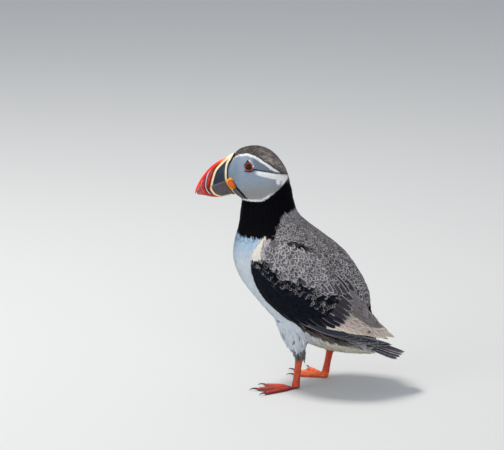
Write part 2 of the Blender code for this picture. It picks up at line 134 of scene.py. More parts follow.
BODY = {
    "in_head": Girth((-50, 190), (-18, 196), 11),
    "throat": Girth((-54.8, 180), (-10.8, 186), 16),
    "upper_neck": Girth((-57.5, 164), (-8.5, 174), 19.5),
    "collar": Girth((-59, 149), (-3, 158.5), 24),
    "shoulder": Girth((-63, 134), (15.5, 144), 32.5),
    "breast": Girth((-64, 117), (37, 128.5), 38.5),
    "chest": Girth((-57, 99), (53, 108), 41),
    "waist": Girth((-44, 83), (62.5, 89), 41),
    "belly": Girth((-29, 67), (64, 76), 38.5),
    "loin": Girth((-10, 50), (66, 66), 33.5),
    "vent": Girth((12, 39), (69.5, 58), 26),
    "rump": Girth((33, 34), (75, 50.5), 18.5),
    "tail_root": Girth((52, 33), (81, 44.5), 12.5),
    "tail_coverts": Girth((66, 34), (85, 39.5), 8.5),
}
# Folded wing: body station, lower and upper edge in degrees round from the back.
WING_EDGES = (
    (3.75, 95, 66),
    (4.15, 107, 56),
    (5, 119, 47),
    (6, 125, 42),
    (7, 127, 40),
    (8, 115, 39),
    (9, 94, 37),
    (10, 80, 32),
    (11, 69, 27),
    (12.2, 55, 26),
    (13.1, 44, 30),
)
HEAD_PIVOT = np.array((-33.3, 0, 196))
HEAD_TURN = math.radians(12)
SAMPLES = 40  # between two stations of the body


def smooth_run(rows: Array, stations: Array) -> Array:
    """Catmull-Rom values of the rows at fractional stations."""
    last = len(rows) - 1
    index = np.minimum(stations.astype(int), last - 1)
    share = (stations - index)[:, None]
    a, b = rows[np.maximum(index - 1, 0)], rows[index]
    c, d = rows[index + 1], rows[np.minimum(index + 2, last)]
    return b + 0.5 * share * (c - a + share * (2 * a - 5 * b + 4 * c - d + share * (3 * (b - c) + d - a)))


class BodyMap:
    """Places on the body by station, counted along BODY, and by angle round from the back."""

    def __init__(self) -> None:
        """Samples the girths on a smooth curve."""
        rows = np.array([(*g.breast, *g.back, g.half_width) for g in BODY.values()], float)
        self.last = len(rows) - 1
        self.stations = np.linspace(0, self.last, SAMPLES * self.last + 1)
        self.rows = smooth_run(rows, self.stations)
        centre = (self.rows[:, 0:2] + self.rows[:, 2:4]) / 2
        self.tangents = unit(np.gradient(centre, axis=0))

    def locate(self, points: Array) -> tuple[Array, Array]:
        """The station and angle of each point.

        Args:
            points: places in millimetres, one row each.

        Returns:
            Fractional stations, and degrees round from the back (0) to the breast (180).
        """
        low, high = self.rows[::4, 0:2], self.rows[::4, 2:4]
        span = high - low
        length = np.linalg.norm(span, axis=1)
        station, angle = np.zeros(len(points)), np.zeros(len(points))
        for start in range(0, len(points), 4000):
            part = points[start : start + 4000]
            offset = part[:, None, [0, 2]] - low[None]
            along = (offset * span).sum(2) / length**2
            away = np.abs(offset[..., 0] * span[:, 1] - offset[..., 1] * span[:, 0]) / length
            away += 60 * np.maximum(np.abs(along - 0.5) - 0.75, 0)
            best = away.argmin(1)
            station[start : start + 4000] = self.stations[::4][best]
            share = np.take_along_axis(along, best[:, None], 1)[:, 0] * 2 - 1
            side = np.abs(part[:, 1]) / self.rows[::4, 4][best]
            angle[start : start + 4000] = np.degrees(np.arctan2(side, share))
        return station, angle

    @staticmethod
    def _row(rows: Array, station: Array) -> Array:
        """The sampled rows at stations."""
        return rows[np.clip((station * SAMPLES).astype(int), 0, len(rows) - 1)]

    def tangent(self, station: Array) -> Array:
        """The way down the body's middle line at each station."""
        flat = self._row(self.tangents, station)
        return np.stack((flat[:, 0], np.zeros(len(flat)), flat[:, 1]), 1)


BODY_MAP = BodyMap()


def turned(points: Array, angle: float) -> Array:
    """Places turned about an upright through the origin."""
    cosine, sine = math.cos(angle), math.sin(angle)
    x, y, z = points.T
    return np.stack((x * cosine - y * sine, x * sine + y * cosine, z), 1)


def to_head(points: Array) -> Array:
    """Places in the head's own frame, its nose towards -X, in millimetres."""
    return turned(points - HEAD_PIVOT, -HEAD_TURN)


def from_head(points: Array) -> Array:
    """Places in the bird's frame of points given in the head's."""
    return turned(np.asarray(points, float), HEAD_TURN) + HEAD_PIVOT


# ---------------------------------------------------------------- meshes


def linked(name: str, data: bpy.types.ID) -> Object:
    """A new object in the scene."""
    made = bpy.data.objects.new(name, data)
    bpy.context.scene.collection.objects.link(made)
    return made


def mesh_object(name: str, mesh: MeshData, finish: Material) -> Object:
    """Links a finished mesh as a piece of the bird.

    Args:
        name: the piece's name.
        mesh: its mesh, already in place.
        finish: its material.

    Returns:
        The new object, riding on the root body.
    """
    mesh.materials.append(finish)
    mesh.shade_smooth()
    made = linked(name, mesh)
    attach(made, "root")
    LOG.info("%s: %d faces", name, len(mesh.polygons))
    return made


def bmesh_mesh(name: str, shape: BMesh) -> MeshData:
    """A mesh from a bmesh, its faces turned outwards."""
    bmesh.ops.recalc_face_normals(shape, faces=shape.faces)
    if shape.calc_volume(signed=True) < 0:
        bmesh.ops.reverse_faces(shape, faces=shape.faces)
    mesh = bpy.data.meshes.new(name)
    shape.to_mesh(mesh)
    shape.free()
    return mesh


def mesh_points(mesh: MeshData) -> Array:
    """A mesh's corners in millimetres."""
    flat = np.empty(len(mesh.vertices) * 3, np.float32)
    mesh.vertices.foreach_get("co", flat)
    return flat.reshape(-1, 3).astype(float) / MM


def set_points(mesh: MeshData, points: Array) -> None:
    """Moves a mesh's corners to places in millimetres."""
    mesh.vertices.foreach_set("co", (points * MM).astype(np.float32).ravel())
    mesh.update()


def point_normals(mesh: MeshData) -> Array:
    """A mesh's corner normals."""
    flat = np.empty(len(mesh.vertices) * 3, np.float32)
    mesh.vertices.foreach_get("normal", flat)
    return flat.reshape(-1, 3).astype(float)


def store_colour(mesh: MeshData, name: str, values: Array) -> None:
    """Keeps a colour for each corner of a mesh."""
    layer = mesh.attributes.new(name, "FLOAT_COLOR", "POINT")
    full = np.concatenate((values, np.ones((len(values), 1))), 1)
    layer.data.foreach_set("color", full.astype(np.float32).ravel())


def store_value(mesh: MeshData, name: str, values: Array) -> None:
    """Keeps a number for each corner of a mesh."""
    layer = mesh.attributes.new(name, "FLOAT", "POINT")
    layer.data.foreach_set("value", np.asarray(values, np.float32))


def ball_mesh(name: str, across: int, along: int, place: Callable[[Array, Array], Array]) -> MeshData:
    """A closed round shape: a ball whose corners are moved to where place puts them.

    Args:
        name: the mesh's name.
        across: corners round it.
        along: rings from pole to pole.
        place: gives places in millimetres from shares along (0 to 1) and turns round (radians).

    Returns:
        The mesh, its poles closed.
    """
    shape = bmesh.new()
    bmesh.ops.create_uvsphere(shape, u_segments=across, v_segments=along, radius=1)
    shape.verts.ensure_lookup_table()
    points = np.array([v.co for v in shape.verts])
    share = np.arccos(np.clip(-points[:, 2], -1, 1)) / math.pi
    turn = np.arctan2(points[:, 1], points[:, 0])
    for vert, spot in zip(shape.verts, place(share, turn)):
        vert.co = Vector(spot) * MM
    return bmesh_mesh(name, shape)


def node_shape(name: str) -> BMesh:
    """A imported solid's shape, its corners joined."""
    shape = bmesh.new()
    shape.from_mesh(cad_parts[name].data)
    bmesh.ops.remove_doubles(shape, verts=shape.verts, dist=1e-5)
    return shape


def swell(shape: BMesh, by: float, times: float = 1.0) -> None:
    """Moves a shape's faces outwards by some times a number of millimetres."""
    shape.normal_update()
    for vert in shape.verts:
        vert.co += vert.normal * by * times * MM


def node_copy(name: str, levels: int) -> MeshData:
    """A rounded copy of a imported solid's mesh.

    Args:
        name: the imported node.
        levels: how many times its faces are divided and smoothed.

    Returns:
        The new mesh.
    """
    shape, flat = node_shape(name), math.radians(40)
    bmesh.ops.join_triangles(shape, faces=shape.faces, angle_face_threshold=flat, angle_shape_threshold=flat)
    mesh = bmesh_mesh(name + "_copy", shape)
    if not levels:
        return mesh
    holder = linked(name + "_holder", mesh)
    divide = holder.modifiers.new("divide", "SUBSURF")
    divide.levels = divide.render_levels = levels
    return applied(holder)


def applied(holder: Object) -> MeshData:
    """The mesh an object has after its modifiers; the object is removed."""
    bpy.context.view_layer.update()
    graph = bpy.context.evaluated_depsgraph_get()
    mesh = bpy.data.meshes.new_from_object(holder.evaluated_get(graph))
    bpy.data.objects.remove(holder)
    return mesh


def fused(shape: BMesh, voxel: float) -> MeshData:
    """Overlapping closed shapes grown into one skin, its grain given in millimetres."""
    holder = linked("fused", bmesh_mesh("fused", shape))
    remesh = holder.modifiers.new("fuse", "REMESH")
    remesh.mode = "VOXEL"
    remesh.voxel_size = voxel * MM
    return applied(holder)


def even_out(mesh: MeshData, rounds: int) -> None:
    """Evens a mesh, each corner moved towards its neighbours' middle and part of the way back."""
    inwards, outwards = 0.55, -0.35
    points = mesh_points(mesh)
    flat = np.empty(len(mesh.edges) * 2, np.int32)
    mesh.edges.foreach_get("vertices", flat)
    first, second = flat[0::2], flat[1::2]
    count = np.bincount(flat, minlength=len(points))[:, None]
    for share in (inwards, outwards) * rounds:
        total = np.zeros_like(points)
        np.add.at(total, first, points[second])
        np.add.at(total, second, points[first])
        points += share * (total / np.maximum(count, 1) - points)
    set_points(mesh, points)


class Surface:
    """A surface that points are laid on."""

    def __init__(self, points: Array, faces: Sequence[Sequence[int]]) -> None:
        """Sorts the faces for searching; points are in millimetres."""
        self.tree = BVHTree.FromPolygons([tuple(p) for p in points], faces)
        self.owner: list[int] = []

    @classmethod
    def of_nodes(cls, names: Sequence[str]) -> "Surface":
        """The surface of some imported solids, which keeps each face's place in names as its owner."""
        points, faces, owner = [], [], []
        for index, name in enumerate(names):
            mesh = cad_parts[name].data
            start = len(points)
            points.extend(mesh_points(mesh))
            faces.extend([start + v for v in face.vertices] for face in mesh.polygons)
            owner.extend([index] * len(mesh.polygons))
        made = cls(np.array(points), faces)
        made.owner = owner
        return made

    def nearest(self, points: Array) -> tuple[Array, Array]:
        """The closest place on the surface to each point, and the outward normal there."""
        places, normals = np.empty_like(points), np.empty_like(points)
        find = self.tree.find_nearest
        for i, point in enumerate(points.tolist()):
            place, normal, _, _ = find(point)
            places[i], normals[i] = place, normal
        return places, normals

    def depth(self, points: Array, normals: Array, limit: float) -> Array:
        """How thick the solid is inwards from each point, up to a limit."""
        result = np.full(len(points), limit)
        for i, (point, normal) in enumerate(zip(points.tolist(), normals.tolist())):
            start = [p - 0.05 * n for p, n in zip(point, normal)]
            hit = self.tree.ray_cast(start, [-n for n in normal], limit)
            if hit[3] is not None:
                result[i] = hit[3]
        return result


# ---------------------------------------------------------------- materials


class Graph:
    """Adds nodes to a material or a node group, with short calls."""

    def __init__(self, tree: bpy.types.NodeTree) -> None:
        """Works in one node tree."""
        self.tree = tree

    def node(self, kind: str, **settings: object) -> bpy.types.Node:
        """A new node with its settings."""
        made = self.tree.nodes.new("ShaderNode" + kind)
        for key, value in settings.items():
            setattr(made, key, value)
        return made

    def link(self, source: Socket, target: Socket) -> None:
        """Joins two sockets."""
        self.tree.links.new(source, target)

    def put(self, value: object, target: Socket) -> None:
        """Sets a socket to a number or colour, or joins it to another socket."""
        if isinstance(value, Socket):
            self.link(value, target)
        elif isinstance(value, tuple) and len(value) == 3 and len(target.default_value) == 4:
            target.default_value = (*value, 1)
        else:
            target.default_value = value

    def math(self, operation: str, *values: object) -> Socket:
        """A Math node's result."""
        made = self.node("Math", operation=operation)
        for value, target in zip(values, made.inputs):
            self.put(value, target)
        return made.outputs[0]

    def times(self, first: object, second: object) -> Socket:
        """The product of two values."""
        return self.math("MULTIPLY", first, second)

    def ramp(
        self, value: object, low: float, high: float, start: float = 0.0, end: float = 1.0
    ) -> Socket:
        """A value carried smoothly from low..high to start..end."""
        made = self.node("MapRange", interpolation_type="SMOOTHSTEP")
        for item, target in zip((value, low, high, start, end), made.inputs):
            self.put(item, target)
        return made.outputs[0]

    def mix(self, share: object, first: object, second: object, blend: str = "MIX") -> Socket:
        """Two colours mixed."""
        made = self.node("Mix", data_type="RGBA", blend_type=blend)
        for item, target in ((share, made.inputs[0]), (first, made.inputs[6]), (second, made.inputs[7])):
            self.put(item, target)
        return made.outputs[2]

    def shaded(self, colour: object, shade: object) -> Socket:
        """A colour made darker or lighter by a value."""
        return self.mix(1.0, colour, shade, "MULTIPLY")

    def attribute(self, name: str, output: str = "Fac") -> Socket:
        """An attribute of the mesh, as a number unless its colour is asked for."""
        return self.node("Attribute", attribute_name=name).outputs[output]

    def tint(self) -> Socket:
        """The mesh's own tint."""
        return self.attribute("tint", "Color")

    def place(self) -> Socket:
        """The object's own coordinates."""
        return self.node("TexCoord").outputs["Object"]

    def fill(self, node: bpy.types.Node, values: dict[str, object]) -> bpy.types.Node:
        """Sets some of a node's inputs."""
        for name, value in values.items():
            self.put(value, node.inputs[name])
        return node

    def noise(self, scale: float, detail: float = 2.0, where: Socket | None = None) -> Socket:
        """Noise over the object's own coordinates or others, its scale in features for each metre."""
        values = {"Scale": scale, "Detail": detail, "Vector": where or self.place()}
        return self.fill(self.node("TexNoise"), values).outputs["Fac"]

    def bump(self, height: object, strength: float, distance: float) -> Socket:
        """A normal bumped by a height."""
        made = self.fill(self.node("Bump"), {"Strength": strength, "Distance": distance, "Height": height})
        return made.outputs["Normal"]


def new_material(name: str) -> tuple[Material, Graph, bpy.types.Node]:
    """An empty Principled material, its graph and its shader."""
    made = bpy.data.materials.new(name)
    made.use_nodes = True
    return made, Graph(made.node_tree), made.node_tree.nodes["Principled BSDF"]


def vane_group() -> bpy.types.NodeTree:
    """The pattern along one feather: its edge, barbs and shaft, built once."""
    known = bpy.data.node_groups.get("feather_vane")
    if known:
        return known
    tree = bpy.data.node_groups.new("feather_vane", "ShaderNodeTree")
    for name in ("Edge", "Fade", "Barbs", "Shaft", "Along", "Chevrons"):
        tree.interface.new_socket(name=name, in_out="OUTPUT", socket_type="NodeSocketFloat")
    graph = Graph(tree)
    split = graph.node("SeparateXYZ")
    graph.link(graph.node("UVMap", uv_map="vane").outputs[0], split.inputs[0])
    across, along = split.outputs[0], split.outputs[1]
    off = graph.math("ABSOLUTE", graph.math("MULTIPLY_ADD", across, 2.0, -1.0))
    margin, rim = graph.attribute("margin"), graph.attribute("rim")
    lane = graph.math("MULTIPLY_ADD", along, graph.attribute("barbs"), graph.times(off, -2.5))
    barbs = graph.math("MULTIPLY_ADD", graph.math("SINE", graph.times(lane, 2 * math.pi)), 0.5, 0.5)
    out = tree.nodes.new("NodeGroupOutput")
    wave = graph.math("MULTIPLY_ADD", off, -1.0, graph.noise(420.0, 1.0))
    wave = graph.math("MULTIPLY_ADD", along, 7.0, wave)
    uneven = graph.math("MULTIPLY_ADD", graph.noise(800.0, 2.0), 0.9, graph.math("SUBTRACT", margin, rim))
    graph.fill(out, {
        "Chevrons": graph.ramp(graph.math("SINE", graph.times(wave, 2 * math.pi)), -0.7, 0.8),
        "Edge": graph.ramp(uneven, 0.3, 0.62, 1.0, 0.0),
        "Fade": graph.ramp(graph.math("DIVIDE", margin, rim), 0.5, 4.5, 1.0, 0.0),
        "Barbs": barbs,
        "Shaft": graph.ramp(off, 0.03, 0.12, 1.0, 0.0),
        "Along": along,
    })  # fmt: skip
    return tree


@dataclass(frozen=True)
class FeatherFinish:
    """A feather's finish: its own tint, a faded border, a pale worn edge, barbs and a shaft."""

    name: str
    fringe: Colour
    fade: Colour
    roughness: float = 0.7
    barb_depth: float = 0.16
    spots: float = 0.0
    chevrons: float = 0.0
    shaft: Colour = linear(18, 16, 16)

    def build(self) -> Material:
        """Makes the material."""
        made, graph, shader = new_material(self.name)
        vane, wear = graph.node("Group", node_tree=vane_group()).outputs, graph.attribute("fringe")
        base = graph.shaded(graph.tint(), graph.attribute("shade"))
        base = graph.mix(graph.times(vane["Fade"], graph.times(wear, 0.55)), base, self.fade)
        if self.spots:
            spot = graph.ramp(graph.noise(1900.0, 1.0), 0.47, 0.62, 0.0, self.spots)
            base = graph.mix(graph.times(spot, wear), base, self.fringe)
        if self.chevrons:
            base = graph.mix(graph.times(vane["Chevrons"], self.chevrons), base, self.fringe)
        base = graph.shaded(base, graph.ramp(vane["Barbs"], 0.0, 1.0, 1.0 - self.barb_depth, 1.0))
        broken = graph.ramp(graph.noise(900.0), 0.35, 0.55, 0.5, 1.0)
        base = graph.mix(graph.times(graph.times(vane["Edge"], wear), broken), base, self.fringe)
        line = graph.times(vane["Shaft"], graph.ramp(vane["Along"], 0.5, 0.95, 0.5, 0.0))
        graph.fill(shader, {
            "Base Color": graph.mix(graph.times(line, wear), base, self.shaft),
            "Roughness": graph.ramp(vane["Barbs"], 0.0, 1.0, self.roughness + 0.08, self.roughness - 0.06),
            "Normal": graph.bump(vane["Barbs"], 0.3, 0.00006),
            "Specular IOR Level": 0.04,
        })  # fmt: skip
        return made


@dataclass(frozen=True)
class SkinFinish:
    """The down and skin under the feathers, in the same markings but darker."""

    name: str = "skin_under_feathers"

    def build(self) -> Material:
        """Makes the material."""
        made, graph, shader = new_material(self.name)
        shade = graph.ramp(graph.noise(1500.0, 3.0), 0.3, 0.7, 0.8, 1.0)
        graph.fill(shader, {
            "Base Color": graph.shaded(graph.tint(), shade),
            "Normal": graph.bump(graph.noise(2500.0), 0.4, 0.0002),
            "Roughness": 0.9,
            "Specular IOR Level": 0.15,
        })  # fmt: skip
        return made


@dataclass(frozen=True)
class HornFinish:
    """Smooth grown horn or bare skin that carries its own tint."""

    name: str
    roughness: float
    coat: float = 0.0
    grain: float = 1800.0
    depth: float = 0.00005

    def build(self) -> Material:
        """Makes the material."""
        made, graph, shader = new_material(self.name)
        fine = graph.noise(self.grain, 3.0)
        graph.fill(shader, {
            "Base Color": graph.shaded(graph.tint(), graph.ramp(fine, 0.3, 0.7, 0.86, 1.08)),
            "Roughness": graph.ramp(fine, 0.3, 0.7, self.roughness - 0.06, self.roughness + 0.1),
            "Normal": graph.bump(fine, 0.5, self.depth),
            "Coat Weight": self.coat,
            "Coat Roughness": 0.25,
        })  # fmt: skip
        return made


class BillLines:
    """How near each place of the bill is to its growth lines, as shares from 0 to 1."""

    def __init__(self, graph: Graph) -> None:
        """Reads the distances that the bill's mesh keeps."""
        self.graph = graph
        self.away = {key: graph.attribute(key) for key in ("base", "ridge", "first", "second", "edge", "lip")}

    def past(self, key: str, low: float, high: float) -> Socket:
        """Rises from 0 to 1 between two distances from a line."""
        return self.graph.ramp(self.away[key], low, high)

    def short_of(self, key: str, low: float, high: float) -> Socket:
        """Falls from 1 to 0 between two distances from a line."""
        return self.graph.ramp(self.away[key], low, high, 1.0, 0.0)

    def behind(self, key: str, limit: float, soft: float = 0.15) -> Socket:
        """1 behind a distance from a line."""
        return self.short_of(key, limit - soft, limit + soft)

    def band(self, key: str, centre: float, half: float, soft: float = 0.12) -> Socket:
        """1 in a band along a line."""
        offset = self.graph.math("ABSOLUTE", self.graph.math("SUBTRACT", self.away[key], centre))
        return self.graph.ramp(offset, half - soft, half + soft, 1.0, 0.0)


@dataclass(frozen=True)
class BillFinish:
    """The bill's horn, banded by how far each place is from the bill's growth lines."""

    name: str
    upper: bool

    def build(self) -> Material:
        """Makes the material."""
        made, graph, shader = new_material(self.name)
        long = graph.fill(graph.node("Mapping"), {"Scale": (1.0, 1.0, 0.3), "Vector": graph.place()})
        streaks = graph.noise(900.0, 3.0, long.outputs[0])
        mottle, lines = graph.noise(380.0, 3.0), BillLines(graph)
        colour = graph.mix(graph.ramp(streaks, 0.4, 0.62, 0.0, 0.55), BillTint.RED, BillTint.DARK_RED)
        lip = graph.times(graph.ramp(lines.away["lip"], 0.2, 0.6, 0.9, 0.0), lines.behind("ridge", 0.4, 0.5))
        layers = self.front(graph, lines, streaks) + self.plate(graph, lines, mottle)
        layers += self.upper_base(graph, lines) if self.upper else self.lower_base(graph, lines)
        for share, layer in (*layers, (lip, BillTint.LIP)):
            colour = graph.mix(share, colour, layer)
        graph.fill(shader, {
            "Base Color": graph.shaded(colour, graph.ramp(mottle, 0.3, 0.7, 0.88, 1.08)),
            "Roughness": graph.ramp(streaks, 0.3, 0.7, 0.3, 0.48),
            "Normal": graph.bump(streaks, 0.35, 0.00006),
            "Specular IOR Level": 0.3,
        })  # fmt: skip
        return made

    def front(self, graph: Graph, lines: BillLines, streaks: Socket) -> list[tuple]:
        """Shares and colours of the red front: tip, a painted highlight along the culmen, grooves and the dark
        line before the ridge.
        """
        tip = graph.times(lines.past("second", 0.4, 2.2), graph.ramp(streaks, 0.4, 0.6, 0.35, 0.85))
        layers = [(tip, BillTint.TIP)]
        if self.upper:
            # A brighter red along the top edge of the upper half: painted highlight.
            layers.append((lines.short_of("edge", 1.2, 3.2), BillTint.CULMEN_HIGHLIGHT))
        seen = lines.past("edge", 1.8, 3.8)
        for side in (-1.05, 1.05):
            layers.append((graph.times(lines.band("first", side, 0.5), seen), BillTint.DARK_RED))
        layers.append((graph.times(lines.band("first", 0.0, 0.45, 0.2), seen), BillTint.PALE))
        faint = graph.times(lines.band("second", 0.0, 0.3, 0.2), graph.times(seen, 0.45))
        dark = graph.times(lines.band("ridge", 1.6, 0.75, 0.25), lines.past("edge", 1.0, 3.4))
        return [*layers, (faint, BillTint.PALE), (dark, BillTint.BROWN)]

    def plate(self, graph: Graph, lines: BillLines, mottle: Socket) -> list[tuple]:
        """Shares and colours of the slate plate and of the pale ridge before it."""
        tint, wear = (BillTint.SLATE, 0.2) if self.upper else (BillTint.LOW_SLATE, 0.5)
        plate = graph.mix(graph.ramp(mottle, 0.35, 0.7, 0.0, wear), tint, BillTint.BROWN)
        return [(lines.behind("ridge", 0.0), plate), (lines.band("ridge", 0.55, 0.42), BillTint.ORANGE),
                (lines.band("ridge", -0.35, 0.72), BillTint.CREAM)]  # fmt: skip

    @staticmethod
    def upper_base(graph: Graph, lines: BillLines) -> list[tuple]:
        """Shares and colours at the root of the upper half: the culmen's orange and cream, and the cere."""
        return [
            (graph.times(lines.short_of("edge", 1.6, 2.8), lines.behind("base", 7.0, 1.8)), BillTint.ORANGE),
            (graph.times(lines.short_of("edge", 2.0, 3.4), lines.behind("base", 4.6, 1.0)), BillTint.CREAM),
            (lines.behind("base", 2.4), BillTint.CREAM),
            (lines.behind("base", 0.7), BillTint.BROWN),
        ]

    @staticmethod
    def lower_base(graph: Graph, lines: BillLines) -> list[tuple]:
        """Shares and colours at the root of the lower half."""
        return [
            (graph.times(lines.short_of("edge", 0.9, 1.5), lines.behind("ridge", 0.6, 0.4)), BillTint.CREAM),
            (lines.behind("base", 1.9), BillTint.DARK_RED),
            (lines.behind("base", 1.0), BillTint.CREAM),
            (lines.behind("base", 0.0), Tint.CHIN),
        ]


@dataclass(frozen=True)
class ScaledSkinFinish:
    """The scaled skin of legs and feet, its webs darker than its toes."""

    name: str = "scaled_leg_skin"
    scales: float = 1900.0

    def build(self) -> Material:
        """Makes the material."""
        made, graph, shader = new_material(self.name)
        cells = graph.node("TexVoronoi", feature="DISTANCE_TO_EDGE")
        graph.fill(cells, {"Scale": self.scales, "Vector": graph.place()})
        crack = graph.ramp(cells.outputs["Distance"], 0.0, 0.12)
        tint = graph.shaded(graph.tint(), graph.ramp(crack, 0.0, 1.0, 0.78, 1.0))
        graph.fill(shader, {
            "Base Color": graph.shaded(tint, graph.ramp(graph.noise(260.0, 3.0), 0.3, 0.7, 0.78, 1.12)),
            "Normal": graph.bump(crack, 0.5, 0.0001),
            "Roughness": graph.ramp(crack, 0.0, 1.0, 0.62, 0.42),
            "Subsurface Weight": 0.08,
            "Subsurface Radius": (0.002, 0.0008, 0.0004),
        })  # fmt: skip
        return made


@dataclass(frozen=True)
class EyeFinish:
    """A wet dark eye."""

    name: str = "wet_eye"

    def build(self) -> Material:
        """Makes the material."""
        made, graph, shader = new_material(self.name)
        streaks = graph.ramp(graph.noise(1400.0), 0.3, 0.7, 0.8, 1.15)
        tint = graph.shaded(graph.tint(), streaks)
        graph.fill(shader, {"Base Color": tint, "Roughness": 0.08, "IOR": 1.34})
        return made


# ---------------------------------------------------------------- markings


class Tint:
    """The plumage's colours."""

    BLACK = linear(12, 12, 15)
    COLLAR = linear(7, 7, 12)
    CROWN = linear(106, 98, 95)
    # painted sunlit sheen on the rear of the crown
    HIND_CROWN_SHEEN = linear(186, 176, 170)
    # black back feathers painted grey-brown as where sunlight falls on them; their pale fringes are wear
    MANTLE = linear(80, 76, 78)
    WING = linear(13, 17, 27)
    # black wing feathers painted lighter grey as where sunlight falls on the upper wing
    SCAPULAR = linear(98, 94, 97)
    # the pale grey-white face, painted bluer and darker as in shade
    FACE = linear(156, 171, 188)
    # the front of the face, painted darker still: painted shade
    FACE_FRONT_SHADE = linear(139, 155, 173)
    FACE_LOW = linear(157, 154, 150)
    # near-white: painted highlight on the face's upper edge, brow, rear corner and the ridge under the crease;
    # also the pale lower front edge and the line behind the eye plate
    FACE_HIGHLIGHT_AND_PALE_EDGE = linear(250, 250, 249)
    CHIN = linear(112, 108, 108)
    # white plumage painted a little darker and bluer, as in soft shade
    WHITE = linear(208, 216, 224)
    WRIST = linear(232, 226, 216)
    # the white breast painted blue-grey where it lies in shade: painted shade on the upper breast
    BREAST = linear(155, 180, 202)
    CREAM = linear(222, 217, 200)
    FLANK = linear(60, 49, 41)
    SLATE = linear(118, 128, 142)
    CUFF = linear(52, 46, 44)


# Outline of the pale face, on the head's side: how far back and how high. Millimetres.
FACE = np.array(
    [(-44, 6), (-36, 9.5), (-33.5, 12.2), (-31.2, 14.2), (-27.7, 17.0), (-22.5, 19.4), (-17.6, 20.3),
     (-11.8, 19.0), (-6.7, 16.6), (-1.3, 13.2), (4, 9.6), (9, 6.0), (14, 2.2), (17.2, -0.4),
     (19.8, -1.8), (18.6, -4.2),
     (16.4, -7.0), (12.2, -11.4), (8.0, -15.2), (4, -18.4), (0, -21.2), (-3.2, -22.7), (-11.6, -23.6),
     (-22.4, -24.2), (-30, -27), (-46, -22)]
)  # fmt: skip
CHEEK_LINE = ((-38, -3), (-31, -6.6), (-26.9, -9.2), (-22.5, -13.8), (-17.6, -20.4), (-15, -23.5))
# The dark fold behind the eye.
CREASE = ((-12.2, 6.6), (-6, 6.0), (-0.8, 5.2), (5, 4.2), (11, 3.1), (15.5, 2.0))
BROW = ((-20, 19.0), (-16, 18.6), (-11, 17.0), (-7.5, 15.0), (-1.3, 10.9), (5, 6.6), (9.2, 4.4), (14.5, 2.2))
EYE_SPOT = (-16.0, 9.3)
EYE_LINE = ((-15.0, 14.6), (-11.6, 9.2))  # thin pale edge behind the eye's upper plate
# On the folded wing, seen from the side: x and z.
WRIST = np.array([(-24.5, 141.5), (-27.6, 136), (-28.0, 129), (-27.2, 124.6), (-31.4, 121.5), (-37.5, 121.5),
                  (-38, 125), (-35, 131), (-31, 137), (-27, 142)])  # fmt: skip
SCAPULAR_LINE = (
    (-40, 133), (-27, 125), (-17.5, 117.3), (-12, 114), (-6.3, 108.5), (11, 106), (25, 98), (46, 93),
    (60, 108)
)  # fmt: skip
SPECKLE_LINE = (
    (-40, 121), (-26.5, 112), (-18.4, 103), (-6.7, 98), (5, 95), (14.6, 90), (25, 83), (33, 77),
    (42, 70), (50, 66)
)  # fmt: skip
COVERT_END = ((-40, 58), (-12, 70.5), (4, 73), (20, 76), (32, 81), (39, 91), (43, 103), (48, 116), (60, 130))
# Body station, and degrees from the back at which the white underparts begin.
WHITE_EDGE = (
    (3, 72), (4.2, 92), (6, 104), (7.6, 106), (8.2, 110), (8.7, 113), (9.3, 107), (10.3, 96),
    (11, 92), (12, 90)
)  # fmt: skip
NAPE_LINE = ((120, -15), (143, -16.5), (155, -16), (161, -13.4), (163.4, -6.6), (166, 2), (172, 20))
# A painted shadow in the fold between the mantle and the wing, seen from the side: x and z.
SHOULDER_SHADOW_LINE = ((-22, 140.5), (-6, 139), (4, 136), (14, 131.5), (24, 127))
NOT_ON_FACE = -9.0  # millimetres inside the face's outline, for places on no side of the head


def off_segment(ends: Sequence[Sequence[float]], x: Array, z: Array) -> Array:
    """How far points are from a straight line between two ends."""
    (x0, z0), (x1, z1) = ends
    span = np.array((x1 - x0, z1 - z0))
    share = np.clip(((x - x0) * span[0] + (z - z0) * span[1]) / (span @ span), 0, 1)
    return np.hypot(x - x0 - share * span[0], z - z0 - share * span[1])


def inside(outline: Array, x: Array, z: Array) -> Array:
    """How far inside an outline points are, in millimetres, negative outside."""
    best, count = np.full(len(x), 1e9), np.zeros(len(x), int)
    for (x0, z0), (x1, z1) in zip(outline, np.roll(outline, -1, 0)):
        best = np.minimum(best, off_segment(((x0, z0), (x1, z1)), x, z))
        crosses = (z0 > z) != (z1 > z)
        with np.errstate(divide="ignore", invalid="ignore"):
            count += crosses & (x < (x1 - x0) * (z - z0) / (z1 - z0 + 1e-12) + x0)
    return np.where(count % 2 == 1, best, -best)


def line_height(line: Sequence[tuple[float, float]], x: Array) -> Array:
    """The height of a line over each x."""
    xs, zs = zip(*line)
    return np.interp(x, xs, zs)


class Places:
    """What is known of some places on the bird: body station and angle, head frame, side and part."""

    def __init__(self, points: Array, parts: Array) -> None:
        """Keeps the places.

        Args:
            points: millimetres, one row each.
            parts: for each, the index in FLESH of the solid it belongs to.
        """
        self.points = points
        self.parts = parts
        self.station, self.angle = BODY_MAP.locate(points)
        self.head = to_head(points)
        stations, low, high = np.array(WING_EDGES).T
        low, high = np.interp(self.station, stations, low), np.interp(self.station, stations, high)
        self.across = (self.angle - low) / (high - low)
        self.on_wing = parts >= FLESH.index("wing_left")
        self.on_thigh = (parts == FLESH.index("thigh_left")) | (parts == FLESH.index("thigh_right"))
        self.on_tail = parts == FLESH.index("tail")
        self.on_head = parts == FLESH.index("head")
        beside = (np.abs(self.head[:, 1]) > 0.5) & (self.head[:, 2] >= -34)
        self.face = np.where(beside, inside(FACE, self.head[:, 0], self.head[:, 2]), NOT_ON_FACE)

    def take(self, chosen: Array) -> "Places":
        """The places that a mask or a list of indices picks."""
        made = object.__new__(Places)
        for key, value in vars(self).items():
            setattr(made, key, value[chosen])
        return made


